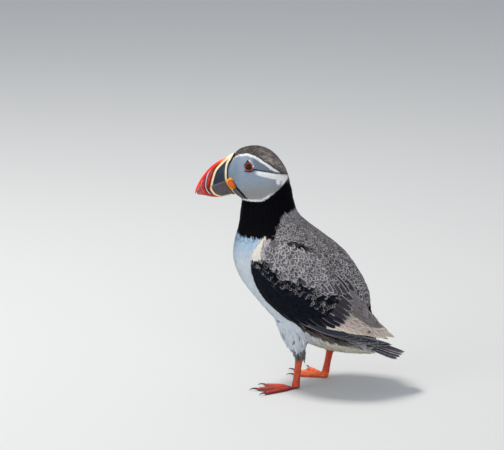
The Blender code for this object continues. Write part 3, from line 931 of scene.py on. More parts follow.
class Markings:
    """Where each colour of the plumage lies, painted sunlight, sheen and shade among them."""

    def tint(self, places: Places) -> tuple[Array, Array]:
        """The colour and the strength of the pale feather edge at each place.

        Args:
            places: the places to colour.

        Returns:
            A linear colour for each row, and a number from 0 to 1.
        """
        count = len(places.points)
        # Everything starts in the mantle's painted sunlit grey.
        colour, fringe = np.tile(np.array(Tint.MANTLE), (count, 1)), np.full(count, 0.9)
        grain = bump_noise(places.points, 4.0, 1)
        colour, fringe = self.dark_parts(places, colour, fringe, grain)
        colour, fringe = self.underparts(places, colour, fringe, grain)
        colour, fringe = self.wing(places, colour, fringe, grain)
        colour, fringe = self.thighs(places, colour, fringe)
        return self.face(places, colour, fringe)

    def dark_parts(self, places: Places, colour: Array, fringe: Array, grain: Array) -> tuple[Array, Array]:
        """Adds the black neck, the brown-black crown with a painted sunlit sheen on its rear, and a painted
        shadow line over the shoulder.
        """
        x, z = places.points[:, 0], places.points[:, 2]
        # The neck is black; behind the nape line the body keeps the mantle's painted sunlit grey.
        nape = line_height(NAPE_LINE, z) + 1.5 * grain
        neck = smoothstep(1.2, -1.2, x - nape) * smoothstep(126, 132, z) * ~places.on_wing
        colour = mixed(colour, Tint.COLLAR, neck)
        fringe = fringe * (1 - neck)
        on_top = smoothstep(-4, 3, places.head[:, 2] + 0.35 * places.head[:, 0] - 2) * places.on_head
        colour = mixed(colour, Tint.CROWN, on_top * (0.75 + 0.25 * grain))
        # A painted sunlit sheen on the rear of the crown, broken into flecks.
        hind_sheen = smoothstep(-12, 3, places.head[:, 0]) * smoothstep(12, 4, -places.face) * on_top
        hind_sheen *= smoothstep(0.8, 2.4, -places.face)
        flecks = (0.5 + 0.5 * bump_noise(places.points, 1.6, 2)).clip(0, 1)
        colour = mixed(colour, Tint.HIND_CROWN_SHEEN, hind_sheen * flecks)
        fringe = np.where(places.on_head, 0.0, fringe)
        # Painted shadow: a black band in the fold between the mantle and the wing.
        shoulder_shadow = np.abs(z - line_height(SHOULDER_SHADOW_LINE, x) + 0.6 * grain)
        shoulder_shadow = smoothstep(2.0, 0.9, shoulder_shadow) * smoothstep(-17, -11, x) * smoothstep(24, 12, x)
        shoulder_shadow = shoulder_shadow * ~places.on_head
        return mixed(colour, Tint.BLACK, shoulder_shadow), fringe * (1 - 0.85 * shoulder_shadow)

    def underparts(self, places: Places, colour: Array, fringe: Array, grain: Array) -> tuple[Array, Array]:
        """Adds the white from the collar to the tail, painted blue-grey shade on its upper breast and a little
        shaded lower down, and the dark brown feathers of the rear flank.
        """
        z, side = places.points[:, 2], np.abs(places.points[:, 1])
        collar = 143.0 - 0.27 * side + 0.0055 * side**2 + 0.6 * bump_noise(places.points, 5.0, 5)
        under = smoothstep(collar + 0.6, collar - 0.6, z)
        limit = limit_of_white(places)
        under *= smoothstep(limit - 2, limit + 2, places.angle + 2.0 * grain)
        under = under * ~places.on_wing * ~places.on_head
        # Painted shade: the upper underparts are blue-grey, turning lower down to white that is itself painted
        # a little shaded.
        colour = mixed(colour, Tint.BREAST, under)
        colour = mixed(colour, Tint.WHITE, under * smoothstep(138, 112, z))
        colour = mixed(colour, Tint.CREAM, under * smoothstep(9.0, 10.2, places.station))
        body = ~places.on_wing & ~places.on_head & ~places.on_thigh
        flank = body * smoothstep(8.2, 8.7, places.station) * smoothstep(11.2, 10.4, places.station)
        flank *= smoothstep(68, 74, places.angle) * smoothstep(3, -1, places.angle - limit + 3 * grain)
        return mixed(colour, Tint.FLANK, flank), fringe * (1 - under) * (1 - 0.8 * flank)

    def thighs(self, places: Places, colour: Array, fringe: Array) -> tuple[Array, Array]:
        """Adds the white thighs, their streaks and their dark cuffs."""
        z = places.points[:, 2]
        streak = smoothstep(0.25, 0.6, bump_noise(places.points * (1, 1, 0.2), 2.2, 8))
        streak *= smoothstep(62, 42, z)
        streaked = mixed(np.tile(Tint.WHITE, (len(z), 1)), Tint.FLANK, 0.7 * streak)
        colour = np.where(places.on_thigh[:, None], streaked, colour)
        cuff = smoothstep(36.5, 33.0, z + 3.0 * bump_noise(places.points * (1, 1, 0.4), 2.2, 9))
        colour = mixed(colour, Tint.CUFF, places.on_thigh * cuff * 0.8)
        return colour, np.where(places.on_thigh, 0.0, fringe)

    def wing(self, places: Places, colour: Array, fringe: Array, grain: Array) -> tuple[Array, Array]:
        """Adds the folded wing's markings to colours already laid, its upper part painted sunlit grey."""
        x, z, wing = places.points[:, 0], places.points[:, 2], places.on_wing
        low = wing * smoothstep(2.0, -2.0, z - line_height(SCAPULAR_LINE, x) + 2.0 * grain)
        smooth = wing * smoothstep(2.5, -2.5, z - line_height(SPECKLE_LINE, x) + 2.5 * grain)
        # Painted sunlight: the upper wing grey, the lower wing kept near-black below the scapular line.
        colour = mixed(colour, Tint.SCAPULAR, wing * (fringe > 0.5))
        colour = mixed(colour, Tint.WING, low)
        speckle = 0.6 * smoothstep(-0.3, 0.7, bump_noise(places.points, 3.2, 21))
        fringe = fringe * (1 - low) + low * (speckle * (1 - smooth) + 0.012 * smooth)
        pale = smoothstep(-0.5, 0.5, inside(WRIST, x, z) + 0.4 * grain) * (np.abs(places.points[:, 1]) > 18)
        colour = mixed(colour, Tint.WRIST, pale)
        return colour, fringe * (1 - pale)

    def face(self, places: Places, colour: Array, fringe: Array) -> tuple[Array, Array]:
        """Adds the pale face to colours already laid, with painted shade on the whole face and more on its
        front, painted highlights on its upper edge, brow, rear corner and the ridge under the crease, and
        painted shade under the brow.
        """
        x, z = places.head[:, 0], places.head[:, 2]
        pale = smoothstep(-0.25, 0.25, places.face) * ~places.on_wing
        face = np.tile(np.array(Tint.FACE), (len(x), 1))
        face = mixed(face, Tint.FACE_LOW, smoothstep(2, -16, z - 0.1 * x) * smoothstep(-30, -20, x) * 0.85)
        # Painted shade: the front of the face darker and bluer.
        face = mixed(face, Tint.FACE_FRONT_SHADE, smoothstep(-21, -27, x))
        # Painted highlight along the face's upper edge and brow, with a pale edge at its lower front.
        rim = smoothstep(2.4, 1.2, places.face + 1.1 * smoothstep(-20, -26, x) * (z > 0))
        low = smoothstep(-13, -19, z) * smoothstep(-26, -22, x) * 0.8
        rim *= np.maximum(smoothstep(-1, 6, z + 0.3 * x), low)
        brow_highlight = smoothstep(line_height(BROW, x) - 0.4, line_height(BROW, x) + 0.6, z)
        rim = np.maximum(rim, brow_highlight * smoothstep(-19, -15, x))
        face = mixed(face, Tint.FACE_HIGHLIGHT_AND_PALE_EDGE, rim)
        # The ridge under the crease, its hooked end and the face's rear corner get a painted highlight.
        below = line_height(CREASE, x) - z
        ridge = smoothstep(0.9, 1.5, below) * smoothstep(5.8 + 0.1 * x, 4.4 + 0.1 * x, below)
        ridge *= smoothstep(-10, -6, x)
        ridge_end_highlight = smoothstep(2.2, 1.2, np.hypot(x - 11.5, (z + 4.5) * 0.55))
        rear_corner_highlight = smoothstep(13, 16, x) * smoothstep(-14, -7, z)
        face = mixed(face, Tint.FACE_HIGHLIGHT_AND_PALE_EDGE, np.maximum(np.maximum(ridge, rear_corner_highlight), ridge_end_highlight))
        # Darker slate grey between the crease and the brow behind the eye: painted shade under the raised brow.
        over = smoothstep(0.3, 0.9, -below) * (1 - brow_highlight)
        face = mixed(face, Tint.SLATE, over * smoothstep(-13, -10.5, x) * smoothstep(13, 8, x) * 0.9)
        fold = smoothstep(0.95, 0.4, np.abs(below)) * smoothstep(-13, -12, x) * smoothstep(15.5, 14, x)
        face = mixed(face, Tint.BLACK, fold)
        off = off_segment(EYE_LINE, x, z)
        face = mixed(face, Tint.FACE_HIGHLIGHT_AND_PALE_EDGE, smoothstep(0.8, 0.4, off))
        gap = z - line_height(CHEEK_LINE, x)
        chin = smoothstep(0.3, -0.3, gap) * smoothstep(-14.6, -15.6, x)
        low_rim = smoothstep(2.0, 1.2, places.face) * smoothstep(-23.5, -22, x)
        face = mixed(face, Tint.CHIN, chin * (1 - low_rim))
        dark = smoothstep(0.2, -0.2, gap) * smoothstep(-3.4, -1.8, gap + 0.1 * np.abs(x + 18))
        dark = dark * smoothstep(-14.6, -16, x) * smoothstep(-33, -26, x)
        face = mixed(face, Tint.BLACK, dark * (1 - low_rim))
        socket = np.hypot(x - EYE_SPOT[0], z - EYE_SPOT[1])
        face = mixed(face, Tint.BLACK, smoothstep(4.1, 3.6, socket) * 0.95)
        colour = colour * (1 - pale[:, None]) + face * pale[:, None]
        return colour, fringe * (1 - pale)


MARKINGS = Markings()


# ---------------------------------------------------------------- skin


@dataclass
class Skin:
    """One skin over all the flesh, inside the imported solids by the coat's depth."""

    voxel: float = 1.05
    swell: float = 0.45
    smoothing: int = 7
    plug_radius: float = 5.2
    plug_sink: float = 0.5
    bill_cut: float = -40.5
    cap_back: float = 0.1
    cap_height: float = -1.0  # of the line that the skin's front end is squeezed to
    thinnest: float = 0.36  # share of a thin part's depth that the coat may take
    surface: Surface = field(init=False)
    places: Places = field(init=False)
    points: Array = field(init=False)
    triangles: Array = field(init=False)

    def build(self) -> Object:
        """Fuses, smooths, sinks and colours the skin."""
        mesh = self._fused()
        even_out(mesh, self.smoothing)
        self._cap(mesh)
        points, normals = mesh_points(mesh), point_normals(mesh)
        parts = self._parts(points)
        places = Places(points, parts)
        inner = Surface(points, [tuple(p.vertices) for p in mesh.polygons])
        thick = inner.depth(points, normals, 12.0)
        sink = np.minimum(self.depth(places) + self.swell, self.thinnest * thick)
        points = points - normals * (sink - self.relief(places))[:, None]
        set_points(mesh, self._drawn_in(points, parts))
        self.points = mesh_points(mesh)
        mesh.calc_loop_triangles()
        flat = np.empty(len(mesh.loop_triangles) * 3, np.int32)
        mesh.loop_triangles.foreach_get("vertices", flat)
        self.triangles = flat.reshape(-1, 3)
        self.surface = Surface(self.points, self.triangles.tolist())
        self.places = Places(self.points, parts)
        self.places.face = places.face
        tint, _ = MARKINGS.tint(self.places)
        store_colour(mesh, "tint", tint)
        made = mesh_object("skin", mesh, SkinFinish().build())
        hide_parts(*FLESH)
        return made

    def _fused(self) -> MeshData:
        """The flesh solids, swollen until they meet, as one closed mesh."""
        whole = bmesh.new()
        for name in FLESH:
            shape = node_shape(name)
            swell(shape, self.swell)
            piece = bpy.data.meshes.new("flesh_piece")
            shape.to_mesh(piece)
            shape.free()
            whole.from_mesh(piece)
            bpy.data.meshes.remove(piece)
        for name in ("eye_left", "eye_right"):
            low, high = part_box(name)
            centre = (Vector(low) + Vector(high)) / 2
            inward = (Vector((*HEAD_PIVOT[:2] * MM, centre.z)) - centre).normalized()
            place = Matrix.Translation(centre + inward * self.plug_sink * MM)
            radius = self.plug_radius * MM
            bmesh.ops.create_uvsphere(whole, u_segments=24, v_segments=16, radius=radius, matrix=place)
        for name in ("bill_upper", "bill_lower"):
            piece = self._bill_root(name)
            whole.from_mesh(piece)
            bpy.data.meshes.remove(piece)
        return fused(whole, self.voxel)

    def _bill_root(self, name: str) -> MeshData:
        """The rear end of one half of the bill, which the face's feathers cover."""
        shape = node_shape(name)
        place = Vector(from_head(np.array([(self.bill_cut, 0, 0)]))[0]) * MM
        ahead = Vector((-math.cos(HEAD_TURN), -math.sin(HEAD_TURN), 0))
        parts = shape.verts[:] + shape.edges[:] + shape.faces[:]
        cut = bmesh.ops.bisect_plane(shape, geom=parts, plane_co=place, plane_no=ahead, clear_outer=True)
        rim = [item for item in cut["geom_cut"] if isinstance(item, bmesh.types.BMEdge)]
        bmesh.ops.holes_fill(shape, edges=rim, sides=0)
        swell(shape, self.swell, 1.6)
        return bmesh_mesh("bill_root", shape)

    def _cap(self, mesh: MeshData) -> None:
        """Ends the skin at the bill's base line, tucked inside the horn."""
        head = to_head(mesh_points(mesh))
        x, y, z = head.T
        over = np.maximum(ahead_of(BASE_LINE, x, z) - self.cap_back, 0)
        over = over * (np.abs(y) < 12) * (x < -24) * (z > -26)
        squeeze = 1 - 0.92 * smoothstep(0, 3.0, over)
        squeezed = (x + over, y * squeeze, self.cap_height + (z - self.cap_height) * squeeze)
        set_points(mesh, from_head(np.stack(squeezed, 1)))

    @staticmethod
    def _parts(points: Array) -> Array:
        """The index in FLESH of the solid nearest to each point."""
        flesh = Surface.of_nodes(FLESH)
        return np.array([flesh.owner[flesh.tree.find_nearest(p)[2]] for p in points.tolist()])

    @staticmethod
    def _drawn_in(points: Array, parts: Array) -> Array:
        """Draws the fleshy ends of wings and tail in under their long feathers."""
        x, wing, tail = points[:, 0], parts >= FLESH.index("wing_left"), parts == FLESH.index("tail")
        back = 0.55 * np.maximum(x - 52, 0) * wing + 0.8 * np.maximum(x - 67, 0) * tail
        moved = points.copy()
        moved[:, 0] -= back
        moved[:, 1] *= 1 + 0.025 * back * wing
        moved[:, 2] += back * np.where(wing, 0.49, 0.33)
        return moved

    @staticmethod
    def depth(places: Places) -> Array:
        """The coat's depth over each place, in millimetres."""
        depth = np.interp(places.station, (1, 2.2, 4, 8, 11, 13), (0.9, 1.1, 1.4, 1.5, 1.4, 1.0))
        depth = depth + 0.4 * smoothstep(100, 80, places.angle) * smoothstep(3.0, 4.0, places.station)
        depth = np.where(places.on_head, 0.85, depth)
        depth = np.where(places.face > 0, 0.55, depth)
        depth = np.where(places.on_wing, 1.4, depth)
        depth = np.where(places.on_thigh, 1.1, depth)
        return np.where(places.on_tail, 0.8, depth)

    @staticmethod
    def relief(places: Places) -> Array:
        """Folds of the face: the crease behind the eye, the ridge under it, the brow and the eye's hollow."""
        x, z = places.head[:, 0], places.head[:, 2]
        below = line_height(CREASE, x) - z
        reach = smoothstep(-12, -7, x) * smoothstep(17, 12, x)
        rise = hump(below, 0, 0.9) * -0.9 + 0.75 * hump(below, 2.8, 1.7)
        rise += 0.35 * hump(line_height(BROW, x) + 1.6 - z, 0, 1.6)
        rise *= reach
        gap = z - line_height(CHEEK_LINE, x)
        rise += 0.7 * hump(gap, 1.6, 1.8) * smoothstep(-30, -26, x) * smoothstep(-6, -10, x)
        rise -= 1.9 * smoothstep(3.9, 2.9, np.hypot(x - EYE_SPOT[0], z - EYE_SPOT[1]))
        return np.where(places.face > -1.0, rise, 0.0)


# ---------------------------------------------------------------- feathers


class Shape(Enum):
    """Outlines of feathers: (share along, share of half width) from root to just before the tip."""

    DOWN = ((0.0, 0.55), (0.4, 1.0), (0.78, 0.72))
    SCALE = ((0.0, 0.45), (0.35, 0.95), (0.68, 1.0), (0.9, 0.7))
    ROUND = ((0.0, 0.35), (0.25, 0.85), (0.5, 1.0), (0.74, 0.97), (0.9, 0.7), (0.97, 0.4))
    LANCE = ((0.0, 0.5), (0.3, 0.95), (0.6, 0.8), (0.85, 0.4))
    BLADE = (
        (0.0, 0.55), (0.12, 0.8), (0.26, 0.95), (0.42, 1.0),
        (0.58, 0.98), (0.74, 0.9), (0.87, 0.7), (0.95, 0.42),
    )  # fmt: skip


def feather_faces(rows: int, across: int) -> tuple[Array, Array, Array]:
    """How one feather's corners join, its own pattern coordinates and its rows.

    Args:
        rows: rows of corners before the tip.
        across: corners in each row of the upper side.

    Returns:
        Triangles, (share across, row) for each corner, and which corners are underneath.
    """
    tip, under = rows * across, rows * across + 1
    quads, faces = [], []
    for r in range(rows - 1):
        left, right = r * across, r * across + across - 1
        quads.append((under + r, left, left + across, under + r + 1))
        quads.append((right, under + r, under + r + 1, right + across))
    last = (rows - 1) * across
    faces.append((under + rows - 1, last, tip))
    faces.append((last + across - 1, under + rows - 1, tip))
    faces.append((0, under, across - 1))
    faces.extend((0, c + 1, c) for c in range(1, across - 1))
    for r in range(rows - 1):
        for c in range(across - 1):
            corner = r * across + c
            quads.append((corner, corner + 1, corner + across + 1, corner + across))
    for a, b, c, d in quads:
        faces.append((a, b, c))
        faces.append((a, c, d))
    faces.extend((last + c, last + c + 1, tip) for c in range(across - 1))
    place = [(c / (across - 1), r) for r in range(rows) for c in range(across)]
    place.append((0.5, rows))
    place.extend((0.5, r) for r in range(rows))
    below = np.zeros(len(place), bool)
    below[under:] = True
    return np.array(faces, np.int32), np.array(place, float), below


BARB_PITCH = 0.75  # millimetres from one drawn barb to the next
PATCH = 0.003  # the side of one small feather's place on the bake map


@dataclass
class FeatherSet:
    """Everything needed to lay many feathers of one outline as one mesh; lengths in millimetres."""

    spines: Array  # feathers, rows + 1, 3
    normals: Array
    widths: Array  # half widths, one for each feather
    lifts: Array  # heights over the spine, feathers by rows + 1
    shape: Shape
    across: int = 3
    camber: float = 0.14
    thickness: float = 0.16
    softness: float = 0.5  # how far the shading follows the skin instead of each feather
    rim_width: float = 0.45  # of the pale edge

    def mesh(self, name: str, tint: Array, fringe: Array, shade: Array, patches: Array) -> MeshData:
        """Makes the mesh.

        Args:
            name: the mesh's name.
            tint: a colour for each feather.
            fringe: strength of the pale edge for each feather.
            shade: brightness for each feather.
            patches: for each feather, the corner and the size of its place on the bake map.

        Returns:
            The mesh with its maps and attributes.
        """
        outline = np.array(self.shape.value)
        rows, count = len(outline), len(self.spines)
        faces, place, below = feather_faces(rows, self.across)
        row, off = place[:, 1].astype(int), (place[:, 0] - 0.5) * 2
        half = np.append(outline[:, 1], 0.0)[row][None] * self.widths[:, None]
        corners, level = self._corners(row, off, half, below)
        total = corners.shape[1]
        triangles = (faces[None] + (np.arange(count) * total)[:, None, None]).reshape(-1, 3)
        mesh = array_mesh(name, corners.reshape(-1, 3), triangles)
        length = np.append(outline[:, 0], 1.0)[row]
        vane = np.stack((place[:, 0], length), 1)
        store_map(mesh, "vane", np.tile(vane, (count, 1)), triangles)
        bake = patches[:, None, 0:2] + vane[None] * patches[:, None, 2:4]
        store_map(mesh, "OFBake", bake.reshape(-1, 2), triangles)
        reach = np.linalg.norm(np.diff(self.spines, axis=1), axis=2).sum(1)
        margin = np.minimum(half * (1 - np.abs(off)), (1 - length) * reach[:, None])
        rim = self.rim_width * np.random.default_rng(SEED + count).uniform(0.5, 1.6, count)
        barbs = np.clip(reach / BARB_PITCH, 3, 60)
        store_colour(mesh, "tint", np.repeat(tint, total, 0))
        store_value(mesh, "margin", margin.ravel())
        for key, values in (("fringe", fringe), ("shade", shade), ("barbs", barbs), ("rim", rim)):
            store_value(mesh, key, np.repeat(values, total))
        self._soften(mesh, triangles, level, np.arange(len(faces)) >= self.across + 1 + 4 * (rows - 1))
        return mesh

    def _corners(self, row: Array, off: Array, half: Array, below: Array) -> tuple[Array, Array]:
        """The corners of every feather, and the way up at each."""
        along = np.gradient(self.spines, axis=1)
        sideways = unit(np.cross(unit(along), self.normals))
        normals = unit(np.cross(sideways, along))[:, row]
        lift = self.lifts[:, row] + self.camber * half * (1 - off**2)[None]
        lift = np.where(below[None], self.lifts[:, row] - self.thickness, lift)
        corners = self.spines[:, row] + sideways[:, row] * (half * off)[..., None] + normals * lift[..., None]
        return corners, normals.reshape(-1, 3)

    def _soften(self, mesh: MeshData, triangles: Array, level: Array, upper: Array) -> None:
        """Shades each feather's upper triangles partly as the skin under them lies."""
        mesh.shade_smooth()
        own = point_normals(mesh)
        soft = unit(own + self.softness * (level - own))
        flat = np.empty(len(triangles) * 3, np.float32)
        mesh.polygons.foreach_get("normal", flat)
        upper = np.tile(upper, len(self.spines))[:, None, None]
        corner = np.where(upper, soft[triangles], flat.reshape(-1, 1, 3))
        mesh.normals_split_custom_set(corner.reshape(-1, 3).astype(np.float32))


def array_mesh(name: str, points: Array, triangles: Array) -> MeshData:
    """A mesh of triangles straight from arrays; points in millimetres."""
    mesh = bpy.data.meshes.new(name)
    mesh.vertices.add(len(points))
    mesh.vertices.foreach_set("co", (points * MM).astype(np.float32).ravel())
    mesh.loops.add(len(triangles) * 3)
    mesh.loops.foreach_set("vertex_index", triangles.astype(np.int32).ravel())
    mesh.polygons.add(len(triangles))
    mesh.polygons.foreach_set("loop_start", np.arange(0, len(triangles) * 3, 3, dtype=np.int32))
    mesh.update(calc_edges=True)
    return mesh


def store_map(mesh: MeshData, name: str, values: Array, triangles: Array) -> None:
    """Keeps a UV map given a pair for each corner point."""
    layer = mesh.uv_layers.new(name=name)
    layer.uv.foreach_set("vector", values[triangles.ravel()].astype(np.float32).ravel())


@dataclass(frozen=True)
class CoatKind:
    """One kind of body feather and where it grows. Millimetres."""

    name: str
    spacing: float
    length: float
    width: float
    shape: Shape
    where: Callable[[Places], Array]
    slot: str = "plumage"
    rise: float = 1.0
    lie: float = 0.0  # how much the tips stand out beyond the coat's depth
    ragged: float = 0.12
    thickness: float = 0.14
    mottle: float = 0.1
    camber: float = 0.12
    softness: float = 0.45
    settle: float = 0.4  # how late along its length a feather reaches the coat's depth
    rim: float = 0.5


@dataclass
class Coat:
    """Lays feathers over the skin, each following the lie of the plumage."""

    skin: Skin
    finish: Material
    random: np.random.Generator = field(default_factory=lambda: np.random.default_rng(SEED))
    tail_start: float = 60.0  # from here back, steep places of the trunk and tail stay bare
    free_start: float = 62.0  # from here back, feathers may run on past the flesh
    rooted: float = 0.25  # how deep in the skin each feather starts

    def lie(self, places: Places, normals: Array) -> Array:
        """The way feathers point at each place."""
        level, station = np.zeros(len(normals)), places.station
        way = BODY_MAP.tangent(station)
        droop = np.sin(np.radians(places.angle)) * smoothstep(3.2, 5.0, station) * 0.18
        way = way + droop[:, None] * np.array((0, 0, -1.0))
        fan = np.stack((level, np.tanh(places.points[:, 1] / 9), level), 1)
        way = way + 0.22 * fan * (smoothstep(2.2, 3.4, station) * smoothstep(5.6, 4.2, station))[:, None]
        steep = np.radians(np.interp(places.points[:, 0], (-34, -20, 0, 30, 60), (66, 58, 48, 40, 34)))
        swept = np.stack((np.cos(steep), level, -np.sin(steep)), 1)
        way = np.where(places.on_wing[:, None], swept, way)
        way = np.where(places.on_thigh[:, None], np.array((0.12, 0, -1.0)), way)
        way = np.where(places.on_tail[:, None], np.array((1.0, 0, -0.22)), way)
        back = unit(from_head(places.head - (-46, 0, 4)) - HEAD_PIVOT)
        share = smoothstep(-32, -14, places.head[:, 2]) * smoothstep(26, 10, places.head[:, 0])
        share = np.maximum(share, smoothstep(-3, 1, places.face)) * (places.on_head | (places.face > 0))
        way = way * (1 - share[:, None]) + back * share[:, None]
        return unit(way - normals * (way * normals).sum(1, keepdims=True))

    def roots(self, kind: CoatKind) -> tuple[Array, Array]:
        """Evenly scattered places for one kind's feathers.

        Args:
            kind: which kind.

        Returns:
            Root places, and the index of the skin triangle each is on.
        """
        triangles = self.skin.triangles
        picked = np.flatnonzero(kind.where(self.skin.places)[triangles].sum(1) >= 2)
        corners = self.skin.points[triangles[picked]]
        first, second = corners[:, 1] - corners[:, 0], corners[:, 2] - corners[:, 0]
        area = np.linalg.norm(np.cross(first, second), axis=1) / 2
        number = int(area.sum() / kind.spacing**2 * 4)
        sample = self.random.choice(len(picked), number, p=area / area.sum())
        u, v = self.random.random(number), self.random.random(number)
        over = u + v > 1
        u[over], v[over] = 1 - u[over], 1 - v[over]
        spots = corners[sample, 0] + first[sample] * u[:, None] + second[sample] * v[:, None]
        keep = spread_out(spots, kind.spacing * 0.8)
        _, normal = self.skin.surface.nearest(spots[keep])
        here = self.skin.places.take(triangles[picked[sample[keep]], 0])
        steep = (spots[keep][:, 0] > self.tail_start) & (np.abs(normal[:, 0]) > 0.6)
        bare = steep & ~here.on_wing & (here.on_tail | (normal[:, 2] < 0.25))
        bare |= here.on_thigh & (normal[:, 2] < -0.8)
        keep = keep[~bare]
        return spots[keep], picked[sample[keep]]

    def grow(self, kind: CoatKind) -> Object:
        """Lays one kind of feather as one piece."""
        spots, triangle = self.roots(kind)
        here = self.skin.places.take(self.skin.triangles[triangle][:, 0])
        near = Places(spots, here.parts)
        count = len(spots)
        length = kind.length * self.random.uniform(0.85, 1.15, count)
        steps = np.append(np.array(kind.shape.value)[:, 0], 1.0)
        place, normal = self.skin.surface.nearest(spots)
        way = self.lie(near, normal)
        turn = self.random.normal(0, kind.ragged, count)[:, None]
        way = unit(way + np.cross(normal, way) * turn)
        spines, normals = [place], [normal]
        for step in np.diff(steps):
            ahead, last = place + way * (length * step)[:, None], normal
            place, normal = self.skin.surface.nearest(ahead)
            past = np.linalg.norm(ahead - place, axis=1) > 0.3 + 0.25 * length * step
            past &= (spots[:, 0] > self.free_start) & ~here.on_wing
            free = (past | (here.on_thigh & (normal[:, 2] < -0.45)))[:, None]
            place, normal = np.where(free, ahead, place), np.where(free, last, normal)
            way = unit(way - normal * (way * normal).sum(1, keepdims=True))
            spines.append(place)
            normals.append(normal)
        rise = Skin.depth(near) * kind.rise * self.random.uniform(0.92, 1.06, count)
        lifts = -self.rooted + (rise[:, None] + self.rooted) * steps[None] ** kind.settle
        lifts += kind.lie * np.maximum(steps - 0.5, 0)[None] * 2 * self.random.uniform(0.3, 1, count)[:, None]
        tint, fringe = MARKINGS.tint(Places(spines[-2] * 0.7 + spines[-1] * 0.3, here.parts))
        shade = self.random.normal(1.0, kind.mottle, count).clip(0.6, 1.5)
        fringe = (fringe * self.random.uniform(0.6, 1.1, count)).clip(0, 1)
        widths = kind.width / 2 * self.random.uniform(0.88, 1.12, count)
        feathers = FeatherSet(
            np.stack(spines, 1), np.stack(normals, 1), widths, lifts, kind.shape, camber=kind.camber,
            thickness=kind.thickness, softness=kind.softness, rim_width=kind.rim
        )  # fmt: skip
        mesh = feathers.mesh(kind.name, tint, fringe, shade, self.patches(near))
        return mesh_object(kind.name, mesh, self.finish)

    @staticmethod
    def patches(places: Places) -> Array:
        """Each feather's small patch at its root's place on the unrolled skin."""
        across = places.angle * np.sign(places.points[:, 1] + 1e-6)
        along = places.station + 0.02 * places.head[:, 0] * (places.station < 1)
        spread = []
        for values in (across, along):
            low, high = values.min(), values.max()
            spread.append(0.01 + 0.975 * (values - low) / max(high - low, 1e-6))
        size = np.full((len(across), 2), PATCH)
        return np.concatenate((np.stack(spread, 1), size), 1)


def spread_out(points: Array, gap: float) -> Array:
    """Indices of points such that no two kept ones are closer than gap."""
    cells: dict[tuple[int, int, int], list[tuple[float, float, float]]] = {}
    keep = []
    limit = gap * gap
    steps = [(i, j, k) for i in (-1, 0, 1) for j in (-1, 0, 1) for k in (-1, 0, 1)]
    grid = np.floor(points / gap).astype(int).tolist()
    for index, ((x, y, z), (a, b, c)) in enumerate(zip(points.tolist(), grid)):
        for i, j, k in steps:
            found = cells.get((a + i, b + j, c + k))
            if found and any((x - p) ** 2 + (y - q) ** 2 + (z - r) ** 2 < limit for p, q, r in found):
                break
        else:
            cells.setdefault((a, b, c), []).append((x, y, z))
            keep.append(index)
    return np.array(keep)


def bare_eye(places: Places) -> Array:
    """Whether each place is under the eye, its rim or its horny plates."""
    x, z = places.head[:, 0] - EYE_SPOT[0], places.head[:, 2] - EYE_SPOT[1]
    beak = np.interp(z, (2.0, 3.5, 5.0, 7.0), (4.0, 3.0, 1.8, 0.4))
    bar = np.hypot((x + 0.6) / 6.0, (z + 4.4) / 1.6) < 1
    ring = np.hypot(np.where(x < 0, 0.7 * x, x), z) < 4.4
    return ring | bar | ((z > 2.0) & (z < 7.6) & (np.abs(x + 0.12 * z) < beak) & (places.face > 0))


def covered(places: Places) -> Array:
    """Whether each place of the head has feathers, being behind the bill's base line."""
    return ahead_of(BASE_LINE, places.head[:, 0], places.head[:, 2]) < 0.0


def plain_body(places: Places) -> Array:
    """Whether each place is on neck or trunk."""
    return ~places.on_head & ~places.on_wing & ~places.on_thigh & ~places.on_tail


def under_wing(places: Places) -> Array:
    """Whether each place of the trunk is beneath a folded wing."""
    return (places.across > 0.03) & (places.across < 0.95) & (places.station > 4.6)


def covert_zone(places: Places) -> Array:
    """Whether each place of a wing carries small feathers."""
    return places.on_wing & (places.points[:, 2] > line_height(COVERT_END, places.points[:, 0]))


def above_scapulars(places: Places) -> Array:
    """Whether each place of a wing is over the lower edge of the shoulder's feathers."""
    return places.points[:, 2] > line_height(SCAPULAR_LINE, places.points[:, 0])


def limit_of_white(places: Places) -> Array:
    """The angle round the body at which the pale underparts begin."""
    return np.interp(places.station, *zip(*WHITE_EDGE))


def on_wrist(places: Places) -> Array:
    """Whether each place is in or at the white patch of a wing's wrist."""
    x, y, z = places.points.T
    return (np.abs(y) > 18) & (inside(WRIST, x, z) > -2.4)


